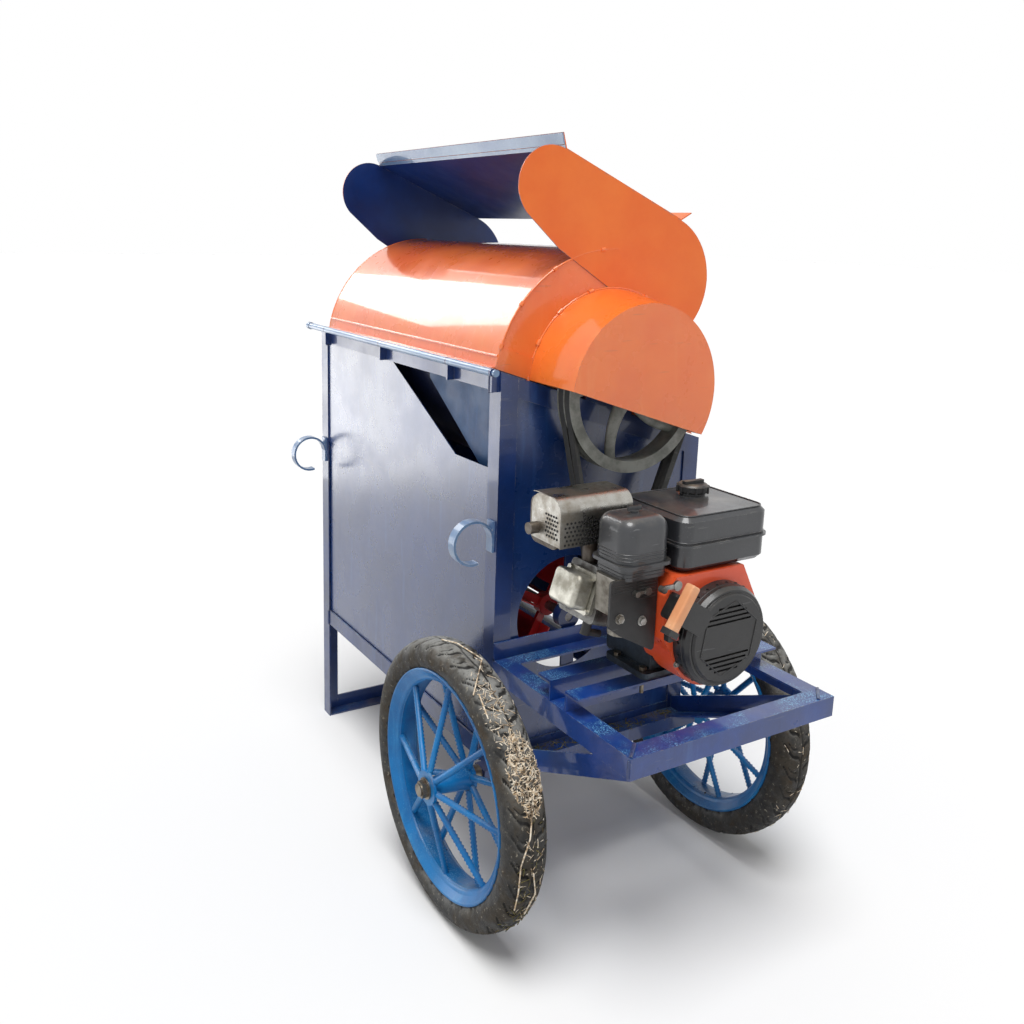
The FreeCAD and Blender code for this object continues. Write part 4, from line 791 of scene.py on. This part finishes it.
# Straw and chaff caught on the tyres and on the axle beam
strawLook = {
    "clump": {"Density": 62000.0, "Length": 0.0125, "Thickness": 0.0009, "Stand": 0.8, "Seed": 4},
    "trail": {"Density": 20000.0, "Length": 0.012, "Thickness": 0.0008, "Stand": 0.6, "Seed": 7},
    "loose": {"Density": 3800.0, "Length": 0.015, "Thickness": 0.0007, "Stand": 0.3, "Seed": 9},
    "sparse": {"Density": 900.0, "Length": 0.015, "Thickness": 0.0007, "Stand": 0.3, "Seed": 31},
    "chaff": {"Density": 16000.0, "Length": 0.018, "Thickness": 0.0007, "Stand": 0.7, "Seed": 15},
    "stalk": {"Radius": 0.0011, "Step": 0.006, "Sides": 6, "Lumps": 0.5, "Lump Scale": 90.0},
    # name, kind, finish, wheel, reach across the tread, turn in degrees
    "patches": [("strawClump", "clump", "straw", "left", (-0.030, 0.036), (136, 165)),
                ("strawTrail", "trail", "straw", "left", (-0.036, 0.006), (108, 150)),
                ("strawLoose", "loose", "straw", "left", (-0.020, 0.040), (95, 235)),
                ("chaffOnTyre", "loose", "chaff", "left", (-0.030, 0.040), (160, 240)),
                ("rightTyreStraw", "sparse", "straw", "right", (-0.036, 0.036), (60, 250))],
    # long stalks on the left tyre: place across the tread, turn in degrees, height over it
    "stalks": [[(-0.012, 82, 0.004), (0.000, 90, 0.006), (0.018, 103, 0.005),
                (-0.014, 111, 0.008), (-0.036, 117, 0.005)],
               [(0.010, 156, 0.003), (-0.010, 172, 0.004), (-0.026, 182, 0.004),
                (-0.024, 194, 0.003), (-0.022, 203, 0.003)],
               [(-0.028, 118, 0.003), (-0.032, 128, 0.003)],
               [(0.000, 186, 0.002), (0.012, 196, 0.004), (0.006, 208, 0.002)]],
    "beam": (-0.225, 0.225, -0.298, -0.262, machine["axleZ"] + 0.0152),
}


def tyreSpot(side, across, degrees, lift=0.0):
    # a point on the tread
    section = [(-x, r) for x, r in tyreLook["half"]]
    reach = abs(across)
    radius = section[-1][1]
    for (outerX, outerR), (innerX, innerR) in zip(section[3:], section[4:]):
        if innerX <= reach <= outerX:
            radius = innerR + (outerR - innerR) * (reach - innerX) / (outerX - innerX)
    return wheelPoint(side, across, radius + lift, math.radians(degrees))


def tyrePatch(side, x0, x1, first, last):
    # part of the tread's surface that carries straw, narrower towards its ends
    rows, columns = 6, 24
    points, faces = [], []
    for i in range(columns + 1):
        fade = math.sin(math.pi * i / columns)
        middle, half = (x0 + x1) / 2, (x1 - x0) / 2 * (0.35 + 0.65 * fade)
        for k in range(rows + 1):
            across = middle + half * (2 * k / rows - 1)
            points.append(tyreSpot(side, across, first + (last - first) * i / columns))
    for i in range(columns):
        for k in range(rows):
            a = i * (rows + 1) + k
            faces.append((a, a + rows + 1, a + rows + 2, a + 1))
    return newMesh("patch", points, [], faces)


def flatPatch(x0, x1, y0, y1, z):
    return newMesh("patch", [(x0, y0, z), (x1, y0, z), (x1, y1, z), (x0, y1, z)], [],
                   [(0, 1, 2, 3)])


def scatterStraw():
    for name, kind, finishName, word, reach, turns in strawLook["patches"]:
        grow(name, "straw", tyrePatch(wheelSides[word], *reach, *turns), strawLook[kind],
             finishName, "wheel_" + word)
    stalks = [[tyreSpot(wheelSides["left"], *spot) for spot in stalk]
              for stalk in strawLook["stalks"]]
    grow("longStalks", "bead", pathMesh(stalks), strawLook["stalk"], "straw", "wheel_left")
    grow("chaffOnBeam", "straw", flatPatch(*strawLook["beam"]), strawLook["chaff"], "chaff",
         "frame")


scatterStraw()
print("straw scattered")

# Weld beads where sheets and bars meet
weldLook = {
    "cover": {"Radius": 0.0016, "Step": 0.004, "Sides": 6, "Lumps": 1.0, "Lump Scale": 130.0},
    "tack": {"Radius": 0.0030, "Step": 0.003, "Sides": 8, "Lumps": 1.2, "Lump Scale": 160.0},
    "frame": {"Radius": 0.0024, "Step": 0.0035, "Sides": 6, "Lumps": 1.2, "Lump Scale": 150.0},
    "coverRadius": 0.277,
    "guardRadius": 0.198,
    "coverFront": -0.234,
    "coverRear": 0.590,
    "coverArc": (88, 169),
    "guardArc": (-12, 192),
    "footTurn": 165,
    "guardTacks": (20, 62, 104, 128, 150, 172),
    "coverTacks": (95, 120, 141, 160),
}


def coverBeads():
    look = weldLook
    x, z = machine["drumX"], machine["drumZ"]
    front, rear = look["coverFront"], look["coverRear"]
    shell, guard = look["coverRadius"], look["guardRadius"]
    seams = [arcXZ(x, z, shell - 0.0012, *look["coverArc"], y) for y in (front, rear)]
    seams.append(arcXZ(x, z, guard + 0.0005, *look["guardArc"], front - 0.001))
    footX, footZ = around(x, z, shell + 0.0004, look["footTurn"])
    seams.append([(footX, front + 0.001, footZ), (footX, rear - 0.001, footZ)])
    grow("coverSeams", "bead", pathMesh(seams), look["cover"], "cover_paint", "cover")
    tacks = [arcXZ(x, z, guard + 0.001, turn, turn + 3.5, front - 0.001, 3)
             for turn in look["guardTacks"]]
    tacks += [arcXZ(x, z, shell - 0.001, turn, turn + 2, front, 3)
              for turn in look["coverTacks"]]
    grow("coverTacks", "bead", pathMesh(tacks), look["tack"], "cover_paint", "cover")


def frameBeads():
    left, side, bar = machine["left"], machine["platformRight"], machine["barWidth"]
    front, rear = machine["front"], machine["rear"]
    deck, deckFront = machine["platformTop"], machine["platformFront"]
    post, rail = machine["postTop"], machine["railTop"]
    skin = left - 0.0005
    lines = []
    for y in (front + bar, rear - bar):
        lines.append([(skin, y, post - 0.046), (skin, y, post - 0.006)])
    for x0, x1 in ((left, left + bar), (side - bar, side)):
        lines.append([(x0, front - 0.001, deck + 0.0005), (x1, front - 0.001, deck + 0.0005)])
        lines.append([(x0 + 0.002, deckFront + 0.005, deck - 0.0002),
                      (x1 - 0.002, deckFront + 0.038, deck - 0.0002)])
    for y in (front + bar, rear - bar):
        lines.append([(skin, y, rail - bar), (skin, y, rail)])
    lines.append([(left + 0.0008, deckFront + 0.0050, deck - 0.036),
                  (left + 0.0008, deckFront + 0.0050, deck - 0.004)])
    grow("frameBeads", "bead", pathMesh(lines), weldLook["frame"], "frame_paint", "frame")


coverBeads()
frameBeads()
print("welds laid")

# Folded strip on the hood's lip in the light blue of the hooks: painted light, the hood's own
# blue where the lip faces the sky
hemLook = {
    "start": (-0.0999, 1.5221),
    "along": (-0.2558, 0.9647),
    "outward": (-0.9647, -0.2558),
    # from and to along the lip, and how thick
    "bands": ((0.000, 0.0075, 0.0016), (0.0090, 0.0300, 0.0030)),
    "front": -0.236,
    "rear": 0.592,
}


def makeHem():
    look = hemLook
    for i, (low, high, thick) in enumerate(look["bands"]):
        outline = []
        for run, lift in ((low, 0.0), (high, 0.0), (high, thick), (low, thick)):
            outline.append([look["start"][k] + look["along"][k] * run + look["outward"][k] * lift
                            for k in range(2)])
        mesh = slabMesh("hem", outline, look["front"], look["rear"])
        # the lighter blue is painted light on the lip
        keepPiece("hoodHem" + str(i + 1), mesh, "cover", "hook_steel")


makeHem()
print("hem folded")

# Engine details: bolts, ribs, dark discs painted as the shade in the guard's holes, and the ends
# of guard and grip
engineLook = {
    "rib": {"Radius": 0.0013, "Step": 0.006, "Sides": 6},
    "thinRib": {"Radius": 0.0009, "Step": 0.006, "Sides": 6},
    "washer": {"Sides": 16, "Wider": 1.35, "Height": 0.0012},
    # radius, height, depth along y, and places in x and z
    "panelBolts": (0.0068, 0.005, -0.5872, ((-0.197, 0.718), (-0.147, 0.706))),
    "recoilBolts": (0.0045, 0.004, -0.6102,
                    [around(machine["crankX"], machine["crankZ"], 0.098, turn)
                     for turn in (28, 208, 300)]),
    "caseBolts": (0.005, 0.004, -0.5302, ((-0.058, 0.600), (-0.062, 0.640), (0.068, 0.604))),
    # box in x and y, corner radius, heights
    "cleanerLoops": ((-0.1972, -0.0928, -0.5962, -0.4998), 0.028, (0.8195, 0.8255, 0.8315)),
    "cleanerBaseLoops": ((-0.1932, -0.0968, -0.5922, -0.5038), 0.016, (0.790, 0.796)),
    "tankLoop": ((-0.0725, 0.1195, -0.5995, -0.4325), 0.018, (0.8865,)),
    "tankStep": ((-0.0802, 0.1272, -0.6072, -0.4248), 0.024, (0.8395,)),
    # from and to in x, and heights
    "panelLines": ((-0.160, -0.120, (0.778, 0.772, 0.766, 0.760, 0.754, 0.748)),
                   (-0.214, -0.172, (0.778, 0.772, 0.766))),
    "panelFront": -0.5872,
    "hole": {"Sides": 8, "Radius": 0.0024, "Height": 0.0005},
    "holePitch": 0.0078,
    "holeRows": 6,
    # columns, first dark disc, axis and pitch of a row, and the way the face looks
    "guardFaces": ((17, (-0.243, -0.4828, 0.826), 0, 1.08, (0, -1, 0)),
                   (5, (-0.2548, -0.474, 0.836), 1, 1.0, (-1, 0, 0))),
    "guardEndX": (-0.2545, -0.2530),
    "guardCorner": 0.0265,
    "guardCentres": ((-0.4560, 0.8810, 180), (-0.4200, 0.8810, 90)),
    "guardFoot": [(-0.3935, 0.822), (-0.4825, 0.822)],
    # radius and depth of the rings on the starter cover
    "recoilRings": ((0.0835, -0.6445), (0.0945, -0.628)),
    "recoilHexagon": (0.070, -0.6482),
    "recoilArm": (0.094, -0.636),
    "recoilNotches": {"count": 26, "radius": 0.0945, "y": -0.6205},
    "notch": {"Sides": 4, "Radius": 0.0032, "Height": 0.003},
    "gripAlong": (0.530, 0.848),
    "gripCentre": (-0.1248, 0.7471),
    "gripEnd": ((-0.0485, -0.0108), (-0.0370, -0.0108), (-0.0370, 0.0108), (-0.0485, 0.0108)),
    "gripDepth": (-0.6712, -0.6490),
}


def gripEnd():
    # black end piece on the lower end of the starter grip
    look = engineLook
    (alongX, alongZ), (centreX, centreZ) = look["gripAlong"], look["gripCentre"]
    outline = []
    for run, across in look["gripEnd"]:
        outline.append((centreX + alongX * run - alongZ * across,
                        centreZ + alongZ * run + alongX * across))
    keepPiece("gripEnd", slabMesh("gripEnd", outline, *look["gripDepth"]), "grip",
              "recoil_plastic")


def engineBolts():
    washer = engineLook["washer"]
    for name in ("panel", "recoil", "case"):
        radius, height, y, spots = engineLook[name + "Bolts"]
        points = pointMesh([((x, y, z), (0, -1, 0)) for x, z in spots])
        grow(name + "Washers", "stud", points.copy(),
             {"Sides": washer["Sides"], "Radius": radius * washer["Wider"],
              "Height": washer["Height"]}, "bolt", "frame")
        grow(name + "Heads", "stud", points,
             {"Sides": 6, "Radius": radius, "Height": height, "Lift": washer["Height"]},
             "bolt", "frame")


def engineLoops(*names):
    loops = []
    for name in names:
        box, corner, heights = engineLook[name]
        loops += [roundedLoop(*box, z, corner) for z in heights]
    return loops


def engineRibs():
    look = engineLook
    lines = []
    for x0, x1, heights in look["panelLines"]:
        lines += [[(x0, look["panelFront"], z), (x1, look["panelFront"], z)] for z in heights]
    for name, paths, rib, finishName in (
            ("cleanerRibs", engineLoops("cleanerLoops"), "rib", "cleaner_plastic"),
            ("cleanerBaseRibs", engineLoops("cleanerBaseLoops"), "thinRib", "cleaner_plastic"),
            ("panelRibs", lines, "thinRib", "panel_plastic"),
            ("tankRibs", engineLoops("tankLoop", "tankStep"), "rib", "tank_paint")):
        grow(name, "bead", pathMesh(paths), look[rib], finishName, "frame")


def guardEnd():
    # end sheet of the guard, left of the muffler
    look = engineLook
    outline = []
    for y, z, first in look["guardCentres"]:
        outline += [around(y, z, look["guardCorner"], first - 15 * i) for i in range(7)]
    mesh = slabMesh("guardEnd", outline + look["guardFoot"], *look["guardEndX"], axis=0)
    keepPiece("guardEnd", mesh, "frame", "guard_steel")


def guardHoleShades():
    # rows of near-black discs on the front and end of the muffler guard: painted shade where its
    # round holes are
    pitch = engineLook["holePitch"]
    places = []
    for columns, first, axis, wider, facing in engineLook["guardFaces"]:
        for row in range(engineLook["holeRows"]):
            for column in range(columns):
                spot = [first[0], first[1], first[2] + pitch * row]
                spot[axis] = spot[axis] + pitch * wider * column + (row % 2) * pitch * 0.5
                places.append((spot, facing))
    grow("guardHoleShades", "stud", pointMesh(places), engineLook["hole"], "hole", "frame")


def recoilDetails():
    look = engineLook
    x, z = machine["crankX"], machine["crankZ"]
    rings = [arcXZ(x, z, radius, 0, 360, y, 72) for radius, y in look["recoilRings"]]
    radius, y = look["recoilHexagon"]
    rings.append(arcXZ(x, z, radius, 20, 380, y, 6))
    reach, depth = look["recoilArm"]
    for i in (0, 3, 5):
        armX, armZ = around(x, z, reach, 20 + 60 * i)
        rings.append([rings[2][i], (armX, depth, armZ)])
    grow("recoilRings", "bead", pathMesh(rings), look["rib"], "recoil_plastic", "frame")
    notches = []
    edge = look["recoilNotches"]
    for i in range(edge["count"]):
        turn = 360 / edge["count"] * i
        outX, outZ = around(0, 0, 1, turn)
        notchX, notchZ = around(x, z, edge["radius"], turn)
        notches.append(((notchX, edge["y"], notchZ), (outX, 0, outZ)))
    grow("recoilNotches", "stud", pointMesh(notches), look["notch"], "recoil_plastic", "frame")


gripEnd()
engineBolts()
engineRibs()
guardEnd()
guardHoleShades()
recoilDetails()
print("engine dressed")

# Stage: floor, backdrop and lamps; the soft boxes are what the panel and the cover mirror
stageLook = {
    "floorSize": 40.0,
    "floorShade": 0.80,
    "floorGlow": 0.04,
    "skyStrength": 0.45,
    "keyStrength": 2.85,
    "keySpread": 34.0,
    "keyFrom": (-0.22, -0.20, 1.0),
    "softBoxes": {
        "panelBox": {"place": (-1.75, 2.9, 0.60), "target": (-0.3, 0.2, 0.75), "width": 2.4,
                     "height": 1.2, "power": 24.0},
        "coverBox": {"place": (-1.05, 3.2, 2.90), "target": (-0.2, 0.2, 1.2), "width": 1.35,
                     "height": 1.9, "power": 48.0},
    },
}


def seenPlainly(tree):
    # 1 for what the camera or a mirror sees, 0 for light that spreads
    rays = addNode(tree, "ShaderNodeLightPath", {})
    return addNode(tree, "ShaderNodeMath", {0: rays.outputs["Is Camera Ray"],
                                            1: rays.outputs["Is Glossy Ray"]},
                   operation="MAXIMUM")


def makeFloor():
    size, shade = stageLook["floorSize"], stageLook["floorShade"]
    material = bpy.data.materials.new("floor")
    tree = emptyTree(material)
    diffuse = addNode(tree, "ShaderNodeBsdfDiffuse", {"Color": (shade, shade, shade, 1)})
    power = addNode(tree, "ShaderNodeMath", {0: seenPlainly(tree), 1: stageLook["floorGlow"]},
                    operation="MULTIPLY")
    glow = addNode(tree, "ShaderNodeEmission", {"Strength": power})
    both = addNode(tree, "ShaderNodeAddShader", {0: diffuse, 1: glow})
    addNode(tree, "ShaderNodeOutputMaterial", {"Surface": both})
    mesh = flatPatch(-size, size, -size, size, 0)
    mesh.materials.append(material)
    newObject("floor", mesh)


def makeSky():
    world = bpy.data.worlds.new("sky")
    bpy.context.scene.world = world
    tree = emptyTree(world)
    sky = addNode(tree, "ShaderNodeBackground", {"Strength": stageLook["skyStrength"]})
    seen = addNode(tree, "ShaderNodeBackground", {"Color": (1, 1, 1, 1), "Strength": 1.0})
    choose = addNode(tree, "ShaderNodeMixShader",
                     {"Fac": seenPlainly(tree), 1: sky, 2: seen})
    addNode(tree, "ShaderNodeOutputWorld", {"Surface": choose})


def makeLamp(name, kind, place, aim, settings):
    data = bpy.data.lights.new(name, kind)
    for setting, value in settings.items():
        setattr(data, setting, value)
    lamp = newObject(name, data)
    lamp.location = place
    lamp.rotation_euler = aim.to_track_quat("-Z", "Y").to_euler()
    return lamp


def makeLamps():
    makeLamp("keyLamp", "SUN", (0, 0, 0), -Vector(stageLook["keyFrom"]),
             {"energy": stageLook["keyStrength"],
              "angle": math.radians(stageLook["keySpread"])})
    for name, look in stageLook["softBoxes"].items():
        lamp = makeLamp(name, "AREA", look["place"],
                        Vector(look["target"]) - Vector(look["place"]),
                        {"shape": "RECTANGLE", "size": look["width"], "size_y": look["height"],
                         "energy": look["power"]})
        lamp.visible_camera = False
        lamp.visible_diffuse = False


makeFloor()
makeSky()
makeLamps()
print("stage set")

cameraLook = {
    "place": (-1.2450, -1.8423, 1.3726),
    "yaw": -30.527,
    "pitch": 11.873,
    "roll": 1.343,
    "lens": 35.02,
    "shiftX": 0.0415,
    "shiftY": -0.0740,
}


def makeCamera():
    yaw, pitch, roll = (math.radians(cameraLook[name]) for name in ("yaw", "pitch", "roll"))
    back = Vector((math.sin(yaw) * math.cos(pitch), -math.cos(yaw) * math.cos(pitch),
                   math.sin(pitch)))
    side = (-back).cross(Vector((0, 0, 1))).normalized()
    up = side.cross(-back)
    turnedSide = side * math.cos(roll) + up * math.sin(roll)
    turnedUp = up * math.cos(roll) - side * math.sin(roll)
    data = bpy.data.cameras.new("camera")
    data.sensor_width = 36
    data.lens = cameraLook["lens"]
    data.shift_x = cameraLook["shiftX"]
    data.shift_y = cameraLook["shiftY"]
    camera = newObject("camera", data)
    turn = Matrix((turnedSide, turnedUp, back)).transposed().to_4x4()
    camera.matrix_world = Matrix.Translation(cameraLook["place"]) @ turn
    bpy.context.scene.camera = camera


makeCamera()
bpy.context.scene.view_settings.view_transform = "Standard"
print("camera set")
